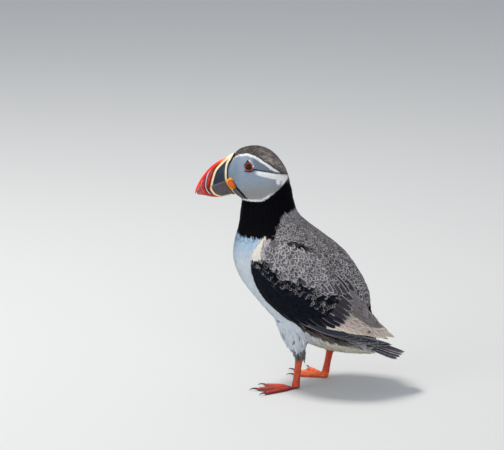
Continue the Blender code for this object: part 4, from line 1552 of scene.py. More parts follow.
COAT = (
    CoatKind(
        "feathers_face", 0.84, 2.7, 1.05, Shape.DOWN, lambda p: (p.face > -0.2) & ~bare_eye(p) & covered(p),
        slot="face", rise=0.9, ragged=0.08, thickness=0.07, mottle=0.03, camber=0.05, softness=0.85,
        settle=0.3
    ),
    CoatKind(
        "feathers_crown", 0.86, 3.0, 0.9, Shape.DOWN, lambda p: p.on_head & (p.face <= -0.2) & covered(p),
        slot="face", rise=0.95, ragged=0.14, thickness=0.08, mottle=0.34, camber=0.06, softness=0.7,
        settle=0.3
    ),
    CoatKind(
        "feathers_neck", 1.2, 5.2, 1.5, Shape.DOWN,
        lambda p: plain_body(p) & (p.station < np.where(p.angle > 85, 3.8, 3.3)) & (p.face <= 0.2)
        & ~on_wrist(p),
        thickness=0.09, mottle=0.22, camber=0.06, softness=0.75, settle=0.3, rim=0.3
    ),
    CoatKind(
        "feathers_breast", 1.4, 8.5, 2.2, Shape.DOWN,
        lambda p: plain_body(p) & (p.station >= 3.75) & (p.angle > 92) & (p.station < 8.6) & ~on_wrist(p),
        rise=0.95, ragged=0.06, thickness=0.07, mottle=0.02, camber=0.04, softness=0.85, settle=0.25
    ),
    CoatKind(
        "feathers_shoulder", 1.6, 6.0, 3.0, Shape.SCALE,
        lambda p: plain_body(p) & (p.station >= 3.0) & (p.angle <= 92) & (p.station < 4.9)
        & ((p.angle <= 85) | (p.station >= 3.8)) & ~on_wrist(p),
        lie=0.2, ragged=0.2, thickness=0.12, mottle=0.22, settle=0.45, rim=0.4
    ),
    CoatKind(
        "feathers_mantle", 2.3, 10.5, 4.8, Shape.ROUND,
        lambda p: plain_body(p) & (p.station >= 4.8) & (p.angle <= np.where(p.station < 7.7, 92, 66))
        & (p.across > np.where(p.station > 7.5, 1.05, 0.95)),
        rise=1.1, lie=0.3, ragged=0.16, mottle=0.2, settle=0.45, rim=0.6
    ),
    CoatKind(
        "feathers_vent", 1.7, 10.5, 2.5, Shape.LANCE,
        lambda p: ~p.on_wing & ~p.on_thigh & (p.station >= 8.4) & ((p.angle > 80) | ~p.on_tail)
        & (p.angle > np.minimum(72, limit_of_white(p))) & ~(under_wing(p) & (p.across > 0.3)),
        rise=1.1, lie=0.8, ragged=0.16, thickness=0.1, mottle=0.12, camber=0.08, softness=0.55, settle=0.45
    ),
    CoatKind(
        "feathers_thigh", 1.3, 7.5, 1.7, Shape.LANCE, lambda p: p.on_thigh, slot="down", lie=0.25,
        ragged=0.08, thickness=0.08, mottle=0.06, camber=0.06, softness=0.75, settle=0.35
    ),
    CoatKind(
        "feathers_wrist", 1.0, 4.6, 1.7, Shape.DOWN, on_wrist, ragged=0.08, thickness=0.08, mottle=0.03,
        camber=0.05, softness=0.8, settle=0.35
    ),
) + tuple(
    kind
    for side, sign in SIDES.items()
    for kind in (
        CoatKind(
            f"feathers_coverts_{side}", 1.8, 6.6, 3.2, Shape.SCALE,
            lambda p, s=sign: covert_zone(p) & (p.points[:, 1] * s > 0) & ~above_scapulars(p) & ~on_wrist(p),
            lie=0.1, ragged=0.1, thickness=0.11, mottle=0.16, settle=0.45, rim=0.4
        ),
        CoatKind(
            f"feathers_scapulars_{side}", 2.1, 9.5, 4.6, Shape.ROUND,
            lambda p, s=sign: covert_zone(p) & (p.points[:, 1] * s > 0) & above_scapulars(p) & ~on_wrist(p),
            rise=1.15, lie=0.3, ragged=0.18, mottle=0.2, settle=0.5, rim=0.64
        ),
    )
)  # fmt: skip


# ---------------------------------------------------------------- flight feathers


@dataclass(frozen=True)
class FeatherRow:
    """A row of large feathers on the folded wing, from its lowest to its highest.

    Roots and tips are lines seen from the side, x and z, along which the feathers are spread.
    """

    name: str
    count: int
    roots: tuple[tuple[float, float], ...]
    tips: tuple[tuple[float, float], ...]
    width: float
    lift: tuple[float, float, float]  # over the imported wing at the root, at the first tip and at the last tip
    tints: tuple[Colour, ...]
    fringe: tuple[float, ...]
    shape: Shape = Shape.BLADE
    sag: float = 0.0
    rim: float = 0.4
    settle: float = 0.8


WING_ROWS = (
    FeatherRow(
        "primaries", 9, ((4, 71), (14, 70)), ((88.4, 43.8), (83, 45.8), (74, 49), (64, 52.6), (54, 56)), 7.6,
        lift=(-1.2, -1.0, -0.4), tints=(linear(40, 43, 54), linear(58, 60, 70)), fringe=(0.5, 0.4),
        sag=-1.4, rim=0.3
    ),
    FeatherRow(
        "secondaries", 11, ((28, 68), (34, 72), (44, 79)),
        ((56, 62.0), (65, 57.4), (74, 53), (82, 50.4), (88.8, 50)), 7.0,
        lift=(-1.1, -0.7, 0.5), tints=(linear(212, 194, 182), linear(184, 169, 160)), fringe=(1.0, 1.0),
        rim=0.6
    ),
    FeatherRow(
        "tertials", 6, ((42, 88), (46, 95), (47, 100)), ((82, 56.6), (74, 64), (66, 72.5), (59, 81)), 9.2,
        lift=(-1.0, 0.2, 1.3), tints=(linear(100, 95, 97), linear(98, 93, 97)), fringe=(0.9, 0.9), rim=0.5
    ),
    FeatherRow(
        "greater_coverts", 14, ((-18, 80), (0, 84), (16, 87), (28, 90), (34, 98), (38, 108)),
        ((2, 67.6), (22, 65.4), (43, 63.8), (51, 70), (54, 79), (55.5, 92)), 7.6, lift=(-1.8, 0.0, 0.6),
        tints=(Tint.WING, Tint.WING, linear(30, 31, 40), linear(66, 61, 64), linear(76, 71, 73)),
        fringe=(0.1, 0.12, 0.35, 0.95, 0.95), shape=Shape.ROUND, rim=0.5, settle=1.1
    ),
    FeatherRow(
        "long_scapulars", 9, ((2, 116), (12, 120), (24, 122), (34, 117)),
        ((29, 98.5), (38, 96.0), (47, 93.0), (54, 95)), 8.6, lift=(-2.4, 0.4, 0.8),
        tints=(linear(78, 75, 80), linear(84, 80, 84), linear(56, 50, 56)), fringe=(0.95, 0.95, 0.8),
        shape=Shape.ROUND, rim=0.55, settle=1.3
    ),
)  # fmt: skip
WING_FOOT = ((-40, 66), (19, 62.9), (48.8, 52.7), (69.6, 47.9), (91, 44))  # the folded wing's lower edge
# How far out the wing lies, over x.
WING_DEPTH = ((-40, 37), (0, 42), (30, 41), (50, 33), (63, 23), (78, 11.5), (91, 5))


def lane_patches(count: int) -> Array:
    """A lane of the bake map for each of a few large feathers: its corner and its size."""
    lane, full = np.arange(count) / count, np.ones(count)
    return np.stack((0.01 + 0.98 * lane, 0.01 * full, 0.9 / count * full, 0.97 * full), 1)


@dataclass
class FoldedWing:
    """The large feathers of one folded wing."""

    side: str
    finishes: dict[str, Material]
    far_tips: tuple[float, float] = (9.0, 1.0)  # the right wing is held this much further forward
    afar: float = 150.0  # from where the wing's outer face is looked for

    def spots(self, flat: Array) -> tuple[Array, Array]:
        """Places and normals on the wing's outer face for places seen from the side."""
        sign = SIDES[self.side]
        deep = np.interp(flat[:, 0], *zip(*WING_DEPTH))
        low = line_height(WING_FOOT, flat[:, 0]) + 5.0
        places = np.stack((flat[:, 0], sign * deep, flat[:, 1]), 1)
        normals = np.tile((0.1, sign * 0.92, 0.3), (len(flat), 1))
        for i, (x, z) in enumerate(flat.tolist()):
            place, normal, _, _ = self.surface.tree.ray_cast((x, sign * self.afar, z), (0, -sign, 0))
            if place is not None and (abs(place[1]) > deep[i] - 4 or z > low[i]):
                places[i, 1] = place[1]
                normals[i] = unit(0.7 * np.array(normal) + 0.3 * normals[i])
        return places, normals

    def build(self) -> list[Object]:
        """Lays every row."""
        self.surface = Surface.of_nodes([f"wing_{self.side}", "trunk"])
        return [self.row(row, index) for index, row in enumerate(WING_ROWS)]

    def row(self, row: FeatherRow, index: int) -> Object:
        """Lays one row of feathers as one piece."""
        draw = np.random.default_rng(SEED + 31 * index)
        share = np.linspace(0, 1, row.count)
        roots, tips = spread(row.roots, share), spread(row.tips, share)
        tips = tips + draw.normal(0, 0.5, tips.shape)
        if self.side == "right":
            tips = tips - smoothstep(20, 60, tips[:, :1]) * self.far_tips
            roots = roots - smoothstep(20, 60, roots[:, :1]) * self.far_tips
        steps = np.append(np.array(row.shape.value)[:, 0], 1.0)
        spines, normals = [], []
        for step in steps:
            flat = roots + (tips - roots) * step
            flat[:, 1] += row.sag * math.sin(step * math.pi)
            place, normal = self.spots(flat)
            spines.append(place)
            normals.append(normal)
        spine, normal = smooth_rows(np.stack(spines, 1)), unit(smooth_rows(np.stack(normals, 1)))
        end = row.lift[1] + (row.lift[2] - row.lift[1]) * share
        lifts = row.lift[0] + 0.6 * share[:, None] + (end[:, None] - row.lift[0]) * steps[None] ** row.settle
        widths = np.full(row.count, row.width / 2) * draw.uniform(0.93, 1.07, row.count)
        shade = draw.normal(1.0, 0.1, row.count).clip(0.75, 1.3)
        fringe = spread([(f, 0) for f in row.fringe], share)[:, 0] * draw.uniform(0.85, 1.0, row.count)
        tint = spread(row.tints, share)
        feathers = FeatherSet(
            spine, normal, widths, lifts, row.shape, across=7, camber=0.10, thickness=0.3, softness=0.3,
            rim_width=row.rim
        )  # fmt: skip
        name = f"{row.name}_{self.side}"
        mesh = feathers.mesh(name, tint, fringe, shade, lane_patches(row.count))
        return mesh_object(name, mesh, self.finishes.get(row.name, self.finishes["other"]))


def spread(line: Sequence[tuple[float, float]], share: Array) -> Array:
    """Places at shares of the way along a line of points, each stretch counting the same."""
    knots = np.linspace(0, 1, len(line))
    return np.stack([np.interp(share, knots, column) for column in zip(*line)], 1)


def smooth_rows(values: Array) -> Array:
    """Evens values along each feather, its ends kept."""
    result = values.copy()
    for _ in range(2):
        result[:, 1:-1] = (result[:, :-2] + 2 * result[:, 1:-1] + result[:, 2:]) / 4
    return result


@dataclass
class TailFan:
    """The tail feathers, fanned and a little arched. Millimetres."""

    finish: Material
    count: int = 9
    root: tuple[float, float, float] = (60.0, 5.5, 44.0)
    tip: tuple[float, float, float] = (97.6, 11.5, 33.2)
    width: float = 8.0
    arch: float = 2.6

    def build(self) -> Object:
        """Lays the feathers, the middle ones on top."""
        place = np.linspace(-1, 1, self.count)
        steps = np.append(np.array(Shape.BLADE.value)[:, 0], 1.0)
        spines = np.zeros((self.count, len(steps), 3))
        for i, step in enumerate(steps):
            reach = self.tip[0] - 4.5 * place**2
            x = self.root[0] + (reach - self.root[0]) * step
            y = place * (self.root[1] + (self.tip[1] - self.root[1]) * step)
            z = self.root[2] + (self.tip[2] - self.root[2]) * step
            z = z + self.arch * (0.5 - place**2) * (0.5 + 0.5 * step)
            spines[:, i] = np.stack((x, y, z), 1)
        normals = np.zeros_like(spines)
        normals[..., 2] = 1.0
        normals[..., 1] = (place * 0.55)[:, None]
        normals[..., 0] = 0.25
        lifts = (1.5 * (1 - np.abs(place)))[:, None] + np.zeros(len(steps))
        draw = np.random.default_rng(SEED + 7)
        shade = draw.normal(1.0, 0.1, self.count)
        full = np.ones(self.count)
        tint = np.tile(np.array(linear(78, 76, 82)), (self.count, 1))
        feathers = FeatherSet(
            spines, unit(normals), full * self.width / 2, lifts, Shape.BLADE, across=5, camber=0.08,
            thickness=0.35
        )  # fmt: skip
        mesh = feathers.mesh("tail_feathers", tint, full * 0.9, shade, lane_patches(self.count))
        return mesh_object("tail_feathers", mesh, self.finish)


# ---------------------------------------------------------------- bill


class BillTint:
    """The bill's colours."""

    RED = linear(216, 34, 14)
    # painted highlight: a brighter red along the culmen's top
    CULMEN_HIGHLIGHT = linear(244, 36, 6)
    DARK_RED = linear(104, 14, 12)
    SLATE = linear(32, 46, 68)
    LOW_SLATE = linear(90, 86, 92)
    CREAM = linear(240, 224, 184)
    ORANGE = linear(238, 128, 40)
    BROWN = linear(50, 26, 20)
    PALE = linear(190, 196, 206)
    TIP = linear(176, 110, 112)
    LIP = linear(176, 158, 140)


# Stations of each half: (x, z) on the mouth line, (x, z) on the ridge, half thickness, in the head's frame.
UPPER_BILL = np.array(
    [(-27, -2.2, -25.5, 20.2, 8.2), (-33.5, -4.6, -31.8, 18.2, 7.7), (-38.3, -6.5, -37.2, 14.9, 7.1),
     (-43.2, -8.4, -42.0, 12.6, 6.4), (-51.8, -11.9, -51.0, 6.2, 5.0), (-58.8, -14.8, -59.0, -3.2, 3.6),
     (-63.6, -17.2, -64.3, -12.4, 2.3), (-65.4, -19.6, -66.1, -18.2, 0.8)]
)  # fmt: skip
LOWER_BILL = np.array(
    [(-27, -2.2, -25.5, -18.6, 7.6), (-33.5, -4.6, -32.4, -20.1, 7.2), (-43.2, -8.4, -42, -22.3, 6.0),
     (-51.8, -11.9, -50.4, -22.2, 4.6), (-58.8, -14.8, -57.8, -20.8, 3.2), (-64.4, -18.0, -64.0, -20.2, 1.3)]
)  # fmt: skip
# Growth lines down the bill's side: height, and how far forward the line is there.
BASE_LINE = (
    (-22.5, -27.2), (-19.5, -28.3), (-16.1, -30.0), (-12.4, -32.2), (-8, -34.6), (-2.6, -35.5), (3.6, -35.5),
    (9.2, -34.6), (13.6, -32.0), (17, -30.2), (19.5, -28.8)
)  # fmt: skip
FRONT_RIDGE = (
    (-22.5, -38.0), (-21.6, -42.0), (-18.8, -47.8), (-14, -51.0), (-10, -50.5), (2.4, -46.9), (9.5, -41.2),
    (15.5, -34.6)
)  # fmt: skip
FIRST_GROOVE = (
    (-22.6, -46.0), (-20.8, -49.3), (-16.9, -53.9), (-11.7, -55.9), (-6, -55.4), (0.4, -53.5), (7.5, -48.6)
)  # fmt: skip
SECOND_GROOVE = ((-21.5, -51.5), (-18.5, -57.0), (-12.5, -60.2), (-8.3, -59.8), (-3.6, -58.4), (0.5, -55.9))


def ahead_of(line: Sequence[tuple[float, float]], x: Array, z: Array) -> Array:
    """How far in front of a growth line each place is, measured square to the line."""
    heights, fronts = dense(np.array(line)).T
    front = np.interp(z, heights, fronts)
    slope = np.interp(z + 0.5, heights, fronts) - np.interp(z - 0.5, heights, fronts)
    return (front - x) / np.sqrt(1 + slope**2)


def dense(rows: Array) -> Array:
    """A smooth run of rows through some rows."""
    return smooth_run(rows, np.linspace(0, len(rows) - 1, 12 * len(rows)))


@dataclass
class Bill:
    """Both halves of the bill with their ridges and grooves."""

    rings: int = 120
    sides: int = 96
    roundness: float = 2.6
    sharpness: float = 1.5
    gap: float = 0.12

    def build(self) -> list[Object]:
        """Makes the two halves."""
        made = []
        for name, table, up in (("bill_upper", UPPER_BILL, 1), ("bill_lower", LOWER_BILL, -1)):
            horn = name + "_horn"
            mesh = ball_mesh(horn, self.sides, self.rings, self._placer(table, up))
            self._carve(mesh, dense(table))
            piece = mesh_object(horn, mesh, BillFinish(horn, up > 0).build())
            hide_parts(name)
            made.append(piece)
        return made

    def _placer(self, table: Array, up: int) -> Callable[[Array, Array], Array]:
        """The shape of one half, as a function of share along and turn round."""
        last = len(table) - 1

        def place(share: Array, turn: Array) -> Array:
            """Places on the half's outside."""
            eased = (1 - np.cos(np.clip(share, 0, 1) * math.pi)) / 2
            rows = smooth_run(table, np.minimum((0.65 * share + 0.35 * eased) * last, last - 1e-6))
            mouth, ridge = rows[:, 0:2] + np.array((0, up * self.gap / 2)), rows[:, 2:4]
            closed = np.sqrt(np.clip(np.minimum(share / 0.02, (1 - share) / 0.035), 0, 1))
            outer, swing = turn > 0, np.abs(turn)
            height = np.abs(np.sin(swing)) ** (2 / self.roundness) * outer
            side = np.sign(np.cos(swing)) * np.abs(np.cos(swing)) ** np.where(outer, self.sharpness, 1.0)
            middle = (mouth + ridge) / 2
            flat = mouth + (ridge - mouth) * height[:, None]
            flat = middle + (flat - middle) * closed[:, None]
            return from_head(np.stack((flat[:, 0], rows[:, 4] * side * closed, flat[:, 1]), 1))

        return place

    @staticmethod
    def _carve(mesh: MeshData, table: Array) -> None:
        """Raises the ridges, sinks the grooves and keeps each place's distance from them."""
        points, normals = mesh_points(mesh), point_normals(mesh)
        x, y, z = to_head(points).T
        base, ridge, first, second = (
            ahead_of(line, x, z) for line in (BASE_LINE, FRONT_RIDGE, FIRST_GROOVE, SECOND_GROOVE)
        )
        edge = np.abs(np.interp(-x, -table[:, 2], table[:, 3]) - z)
        lip = np.abs(z - np.interp(-x, -table[:, 0], table[:, 1]))
        seen = smoothstep(0.6, 2.0, np.abs(y) + smoothstep(-35, -30, x) * 2) * smoothstep(0.15, 1.2, lip)
        rise = 0.4 * hump(base, 1.9, 0.95) + 0.5 * hump(ridge, -0.2, 0.9)
        rise -= 0.42 * hump(first, 0, 0.6) + 0.28 * hump(second, 0, 0.55)
        rise -= 0.2 * smoothstep(3.0, 4.5, base) * smoothstep(-1.0, -2.4, ridge)
        rise = rise * seen - 3.0 * smoothstep(0.5, -1.6, base)
        set_points(mesh, points + normals * rise[:, None])
        kept = {"base": base, "ridge": ridge, "first": first, "second": second, "edge": edge, "lip": lip}
        for key, values in kept.items():
            store_value(mesh, key, values)


# ---------------------------------------------------------------- eyes and bare skin of the face


@dataclass
class Eye:
    """One eye: the ball, its red rim and the horny plates over and under it. Millimetres."""

    side: str
    skin: Skin
    ball: float = 4.3
    pupil: float = 1.7
    rim: float = 3.3
    rim_thick: float = 0.46
    setback: float = 0.9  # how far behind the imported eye's middle it opens
    reach: float = 5.5  # how far from its middle the skin sets the way the eye looks
    apex: float = 106.0  # where the upper plate points, in degrees
    plate_half: float = 52.0  # how far round the upper plate runs to each side, in degrees
    plate_bearings: tuple[float, ...] = (0, 7, 16, 30, 52)
    plate_reaches: tuple[float, ...] = (7.3, 6.3, 5.2, 4.5, 4.0)

    def build(self) -> list[Object]:
        """Makes every part of the eye."""
        low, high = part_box(f"eye_{self.side}")
        self.centre = (np.array(low) + np.array(high)) / 2 / MM
        out = to_head(self.centre[None]) * (0, 1, 0)
        self._aim(unit(from_head(out) - HEAD_PIVOT)[0])
        around = np.array([(-1, 0), (1, 0), (0, -1), (0, 1)]) * self.reach
        spots = self._flat(around[:, 0], around[:, 1], np.full(4, self.rim))
        front, back, under, over = self.skin.surface.nearest(spots)[0]
        normal = unit(np.cross(back - front, over - under)[None])[0]
        self._aim(normal * np.sign(normal @ self.axis))
        level = np.mean([(spot - self.centre) @ self.axis for spot in (front, back, under, over)])
        sunk = level - math.sqrt(self.ball**2 - self.rim**2)
        self.centre = self.centre + self.axis * sunk + self.back * self.setback
        return [self._ball(), self._rim(), self._plate(True), self._plate(False)]

    def _aim(self, axis: Array) -> None:
        """Turns the eye to look along an axis."""
        self.axis = axis
        self.up = unit(np.cross(np.cross(axis, (0, 0, 1.0)), axis)[None])[0]
        self.back = np.cross(self.up, axis) * SIDES[self.side] * -1

    def _flat(self, back: Array, up: Array, out: Array) -> Array:
        """Places given across the eye (back, up, out), about the eye's centre."""
        return self.centre + back[:, None] * self.back + up[:, None] * self.up + out[:, None] * self.axis

    def _ball(self) -> Object:
        """The eyeball, its pupil and a dark brown iris."""

        def place(share: Array, turn: Array) -> Array:
            """Places on the ball."""
            radius, out = np.sin(share * math.pi), -np.cos(share * math.pi)
            wide = self.ball * radius
            return self._flat(wide * np.cos(turn), wide * np.sin(turn), self.ball * out)

        mesh = ball_mesh(f"eyeball_{self.side}", 40, 30, place)
        offset = mesh_points(mesh) - self.centre
        out = offset @ self.axis
        radius = np.linalg.norm(offset - out[:, None] * self.axis, axis=1)
        colour = np.tile(np.array(linear(27, 17, 13)), (len(out), 1))
        in_pupil = smoothstep(self.pupil + 0.15, self.pupil - 0.15, radius) * (out > 0)
        colour = mixed(colour, linear(5, 5, 6), in_pupil)
        store_colour(mesh, "tint", colour)
        made = mesh_object(f"eyeball_{self.side}", mesh, EyeFinish().build())
        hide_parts(f"eye_{self.side}")
        return made

    def _rim(self) -> Object:
        """The red ring of bare skin round the eye."""
        shape = bmesh.new()
        ring = bmesh.ops.create_circle(shape, segments=12, radius=self.rim_thick)
        turn = Matrix.Rotation(math.radians(90), 4, "X")
        bmesh.ops.transform(shape, matrix=Matrix.Translation((self.rim, 0, 0)) @ turn, verts=ring["verts"])
        bmesh.ops.spin(
            shape, geom=shape.verts[:] + shape.edges[:], cent=(0, 0, 0), axis=(0, 0, 1), dvec=(0, 0, 0),
            angle=2 * math.pi, steps=40, use_merge=True, use_duplicate=False,
        )  # fmt: skip
        mesh = bmesh_mesh(f"eye_rim_{self.side}", shape)
        flat = mesh_points(mesh) * MM
        height = math.sqrt(self.ball**2 - self.rim**2) + 0.4
        wobble = 1 + 0.1 * np.cos(3 * (np.arctan2(flat[:, 1], flat[:, 0]) - math.pi / 2))
        set_points(mesh, self._flat(flat[:, 0] * wobble, flat[:, 1] * wobble, flat[:, 2] + height))
        store_colour(mesh, "tint", np.tile(np.array(linear(196, 24, 16)), (len(flat), 1)))
        finish = HornFinish("eye_rim_skin", 0.4, 0.2, 2500.0).build()
        return mesh_object(f"eye_rim_{self.side}", mesh, finish)

    def _plate(self, over: bool) -> Object:
        """The dark horn round the top of the eye, drawn up to a point, or the bar under it."""

        def place(share: Array, turn: Array) -> Array:
            """Places on the plate."""
            long, wide = -np.cos(share * math.pi), np.sin(share * math.pi)
            if over:
                bearing = np.radians(self.apex - self.plate_half * long)
                reach = np.interp(self.plate_half * np.abs(long), self.plate_bearings, self.plate_reaches)
                inner = self.rim * (1 + 0.1 * np.cos(3 * (bearing - math.pi / 2))) + 0.1
                far = (inner + reach) / 2 + (reach - inner) / 2 * np.cos(turn) * np.minimum(3 * wide, 1)
                back, up = far * np.cos(bearing), far * np.sin(bearing)
            else:
                back = 0.7 + 4.8 * long
                up = -4.15 + 0.85 * wide * np.cos(turn) + 1.5 * np.maximum(long, 0) ** 2
            out = 0.5 * wide * np.sin(turn)
            spots, normals = self.skin.surface.nearest(self._flat(back, up, np.full(len(up), 4.0)))
            return spots + normals * (out + (0.3 if over else 0.65))[:, None]

        name = f"eye_plate_{'upper' if over else 'lower'}_{self.side}"
        mesh = ball_mesh(name, 16, 40 if over else 18, place)
        store_colour(mesh, "tint", np.tile(np.array(linear(15, 17, 23)), (len(mesh.vertices), 1)))
        return mesh_object(name, mesh, HornFinish("eye_plate_horn", 0.5, 0.0, 2200.0).build())


@dataclass
class Rosette:
    """The folded orange skin at one corner of the mouth. Millimetres."""

    side: str
    half: tuple[float, float, float] = (3.9, 2.4, 5.3)
    ahead: float = 1.4
    squareness: float = 3.2
    lean: float = math.radians(33)
    folds: float = 9.0

    def build(self) -> Object:
        """Makes the fold with its creases."""
        low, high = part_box(f"rosette_{self.side}")
        centre = to_head(((np.array(low) + np.array(high)) / 2 / MM)[None])[0] - (self.ahead, 0, 0)
        sign, power = SIDES[self.side], self.squareness
        cosine, sine = math.cos(self.lean), math.sin(self.lean)

        def place(share: Array, turn: Array) -> Array:
            """Places on the fold's outside."""
            radius, tall = np.sin(share * math.pi), -np.cos(share * math.pi)
            crease = 0.5 + 0.5 * np.cos(radius * np.cos(turn) * self.folds)
            crease = 1 - 0.16 * crease * (np.sin(turn) * sign > 0.2)
            a, b, c = radius * np.cos(turn), radius * np.sin(turn) * crease, tall
            square = (np.abs(a) ** power + np.abs(c) ** power) ** (1 / power)
            square = np.hypot(a, c) / np.maximum(square, 1e-6)
            a, b, c = a * square * self.half[0], b * self.half[1], c * square * self.half[2]
            return from_head(np.stack((a * cosine - c * sine, b, a * sine + c * cosine), 1) + centre)

        name = f"gape_rosette_{self.side}"
        mesh = ball_mesh(name, 40, 40, place)
        head = to_head(mesh_points(mesh)) - centre
        a = (head[:, 0] * cosine + head[:, 2] * sine) / self.half[0]
        c = (-head[:, 0] * sine + head[:, 2] * cosine) / self.half[2]
        edge = np.hypot(a, c)
        colour = np.tile(np.array(linear(226, 104, 4)), (len(a), 1))
        colour = mixed(colour, linear(244, 160, 20), smoothstep(0.78, 0.92, edge))
        # Painted shade: a dark ring where the skin folds, and dark lines along the folds that the shape creases
        # in.
        colour = mixed(colour, linear(130, 52, 6), 0.7 * smoothstep(0.09, 0.03, np.abs(edge - 0.66)))
        fold = smoothstep(0.5, 0.85, np.cos(a * self.folds)) * smoothstep(0.85, 0.6, edge)
        colour = mixed(colour, linear(120, 44, 8), 0.55 * fold * smoothstep(0.05, 0.2, np.abs(a)))
        store_colour(mesh, "tint", colour)
        finish = HornFinish("rosette_skin", 0.6, 0.0, 1600.0, 0.0001).build()
        made = mesh_object(name, mesh, finish)
        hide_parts(f"rosette_{self.side}")
        return made


# ---------------------------------------------------------------- legs


@dataclass
class Leg:
    """One bare shank with its webbed foot in one skin, and its claws. Millimetres."""

    side: str
    shank_tint: Colour
    toe_tint: Colour
    web_tint: Colour
    web_height: float = 2.2
    voxel: float = 0.42
    overlap: float = 2.0  # how far the shank runs on into the foot
    claw_root: float = 1.5  # how far the claws run back into the toes
    scute: float = 1.7  # from one cross scale to the next

    def build(self) -> list[Object]:
        """Makes the scaled skin and the claws."""
        self.ankle = self._ankle()
        return [self._skin(), *(self._claw(toe) for toe in ("inner", "middle", "outer"))]

    def _ankle(self) -> Array:
        """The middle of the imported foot's ankle."""
        points = mesh_points(node_copy(f"foot_{self.side}", 0))
        return points[points[:, 2] > 0.8 * points[:, 2].max()].mean(0)

    def _skin(self) -> Object:
        """Shank, toes and webs with their cross scales."""
        whole = bmesh.new()
        for name in ("leg", "foot"):
            piece = node_copy(f"{name}_{self.side}", 2)
            if name == "leg":
                points = mesh_points(piece)
                low = points[:, 2].min()
                points[:, 2] -= self.overlap * smoothstep(low + 4, low + 0.5, points[:, 2])
                set_points(piece, points)
            whole.from_mesh(piece)
            bpy.data.meshes.remove(piece)
        mesh = fused(whole, self.voxel)
        even_out(mesh, 3)
        points, normals = mesh_points(mesh), point_normals(mesh)
        x, y, z = (points - self.ankle * (1, 1, 0)).T
        upright = smoothstep(5.0, 9.0, z)
        toes = (1 - upright) * smoothstep(self.web_height - 0.6, self.web_height + 0.5, z)
        way = z * upright + np.hypot(x, y) * (1 - upright)
        ridge = np.abs(np.sin(way * math.pi / self.scute)) ** 0.6
        rise = 0.15 * ridge * (0.8 * upright + toes) - 0.08 * (upright + toes)
        rise += 0.07 * bump_noise(points * (1, 1, 2), 1.3, 12) * (1 - toes)
        points = points + normals * rise[:, None]
        set_points(mesh, np.maximum(points, (-1e9, -1e9, 0)))
        colour = mixed(np.tile(np.array(self.web_tint), (len(z), 1)), self.toe_tint, toes)
        colour = mixed(colour, self.shank_tint, upright)
        colour = mixed(colour, linear(120, 44, 26), smoothstep(0.3, 0.9, bump_noise(points, 5.0, 11)) * 0.5)
        grooves = 0.45 * smoothstep(0.45, 0.1, ridge) * (toes + 0.6 * upright)
        colour = mixed(colour, linear(110, 30, 20), grooves)
        store_colour(mesh, "tint", colour)
        finish = ScaledSkinFinish(f"scaled_skin_{self.side}").build()
        made = mesh_object(f"leg_skin_{self.side}", mesh, finish)
        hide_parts(f"leg_{self.side}", f"foot_{self.side}")
        return made

    def _claw(self, toe: str) -> Object:
        """One claw, its root run back into the toe."""
        node = f"claw_{toe}_{self.side}"
        mesh = node_copy(node, 2)
        points = mesh_points(mesh)
        ahead = unit(((points.mean(0) - self.ankle) * (1, 1, 0))[None])[0]
        along = points @ ahead
        share = (along - along.min()) / (along.max() - along.min())
        points -= ahead * (self.claw_root * smoothstep(0.7, 0.0, share))[:, None]
        set_points(mesh, points)
        colour = mixed(np.tile(np.array(linear(40, 36, 35)), (len(points), 1)), linear(16, 15, 16), share)
        store_colour(mesh, "tint", colour)
        made = mesh_object(f"{toe}_claw_{self.side}", mesh, HornFinish("claw_horn", 0.3, 0.3).build())
        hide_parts(node)
        return made


# ---------------------------------------------------------------- studio


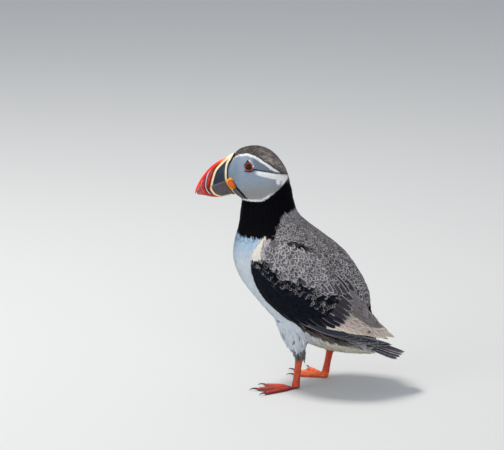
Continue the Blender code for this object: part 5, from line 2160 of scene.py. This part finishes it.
@dataclass
class Studio:
    """Floor, lights and camera. Metres."""

    azimuth: float = math.radians(15)
    elevation: float = math.radians(12)
    frame_width: float = 0.4677
    lens: float = 200.0
    sensor: float = 36.0
    aim_right: float = -0.04566
    aim_up: float = 0.14634
    aim_height: float = 0.11  # where on the bird the lamps look
    floor_half: float = 6.0

    def camera(self) -> Object:
        """Makes the camera."""
        a, e = self.azimuth, self.elevation
        right = Vector((math.cos(a), math.sin(a), 0))
        back = Vector((math.sin(a) * math.cos(e), -math.cos(a) * math.cos(e), math.sin(e)))
        lens = bpy.data.cameras.new("camera")
        lens.lens, lens.sensor_width = self.lens, self.sensor
        lens.clip_start, lens.clip_end = 0.1, 30
        made = linked("camera", lens)
        distance = self.frame_width * self.lens / self.sensor
        made.location = right * self.aim_right + back.cross(right) * self.aim_up + back * distance
        made.rotation_euler = back.to_track_quat("Z", "Y").to_euler()
        bpy.context.scene.camera = made
        return made

    def light(self, name: str, place: Place, size: float, power: float, colour: Colour) -> None:
        """Adds a soft lamp aimed at the bird."""
        lamp = bpy.data.lights.new(name, "AREA")
        lamp.size, lamp.energy, lamp.color = size, power, colour
        made = linked(name, lamp)
        made.location = place
        aim = Vector((0, 0, self.aim_height)) - Vector(place)
        made.rotation_euler = aim.to_track_quat("-Z", "Y").to_euler()

    def build(self) -> None:
        """Makes floor, lights and surroundings."""
        shape = bmesh.new()
        bmesh.ops.create_grid(shape, x_segments=1, y_segments=1, size=self.floor_half)
        floor = linked("floor", bmesh_mesh("floor", shape))
        finish, graph, shader = new_material("floor_paint")
        graph.fill(shader, {"Base Color": (0.6, 0.6, 0.595), "Roughness": 0.9})
        floor.data.materials.append(finish)
        world = bpy.data.worlds.new("studio")
        bpy.context.scene.world = world
        world.use_nodes = True
        graph = Graph(world.node_tree)
        graph.fill(graph.tree.nodes["Background"], {"Color": (0.86, 0.92, 1.0), "Strength": 0.55})
        self.light("key", (-0.9, 0.1, 2.0), 0.45, 38, (1.0, 0.97, 0.92))
        self.light("fill", (-1.5, -1.9, 1.0), 1.6, 17, (0.92, 0.96, 1.0))
        self.light("front", (1.1, -2.2, 1.1), 1.6, 11, (1.0, 0.98, 0.96))


# ---------------------------------------------------------------- assembly


def main() -> None:
    """Builds everything in order."""
    logging.basicConfig(level=logging.INFO, format="%(name)s %(message)s")
    bpy.context.scene.view_settings.view_transform = "Standard"
    studio = Studio()
    studio.camera()
    studio.build()
    skin = Skin()
    skin.build()
    plain = FeatherFinish("plumage", linear(206, 201, 203), linear(112, 107, 109)).build()
    coat = Coat(skin, plain)
    for kind in COAT:
        coat.grow(kind)
    flight = FeatherFinish("flight_plumage", linear(206, 202, 208), linear(112, 108, 114), 0.5).build()
    worn = FeatherFinish(
        "worn_plumage", linear(242, 229, 214), linear(186, 168, 156), 0.6, barb_depth=0.2, chevrons=0.45
    )
    spotted = FeatherFinish(
        "spotted_plumage", linear(182, 174, 174), linear(90, 84, 86), roughness=0.55, spots=0.55
    )
    finishes = {"other": flight, "secondaries": worn.build(), "tertials": spotted.build()}
    for side in SIDES:
        FoldedWing(side, finishes).build()
    TailFan(flight).build()
    Bill().build()
    for side in SIDES:
        Eye(side, skin).build()
        Rosette(side).build()
    # The near left leg and foot are painted duller and darker, as in the bird's own shadow; the far right foot
    # is painted brighter, as in sunlight.
    Leg("left", linear(204, 78, 40), linear(206, 66, 34), linear(120, 24, 20)).build()
    Leg("right", linear(214, 70, 26), linear(248, 110, 24), linear(206, 62, 20)).build()


if __name__ == "__main__":
    main()
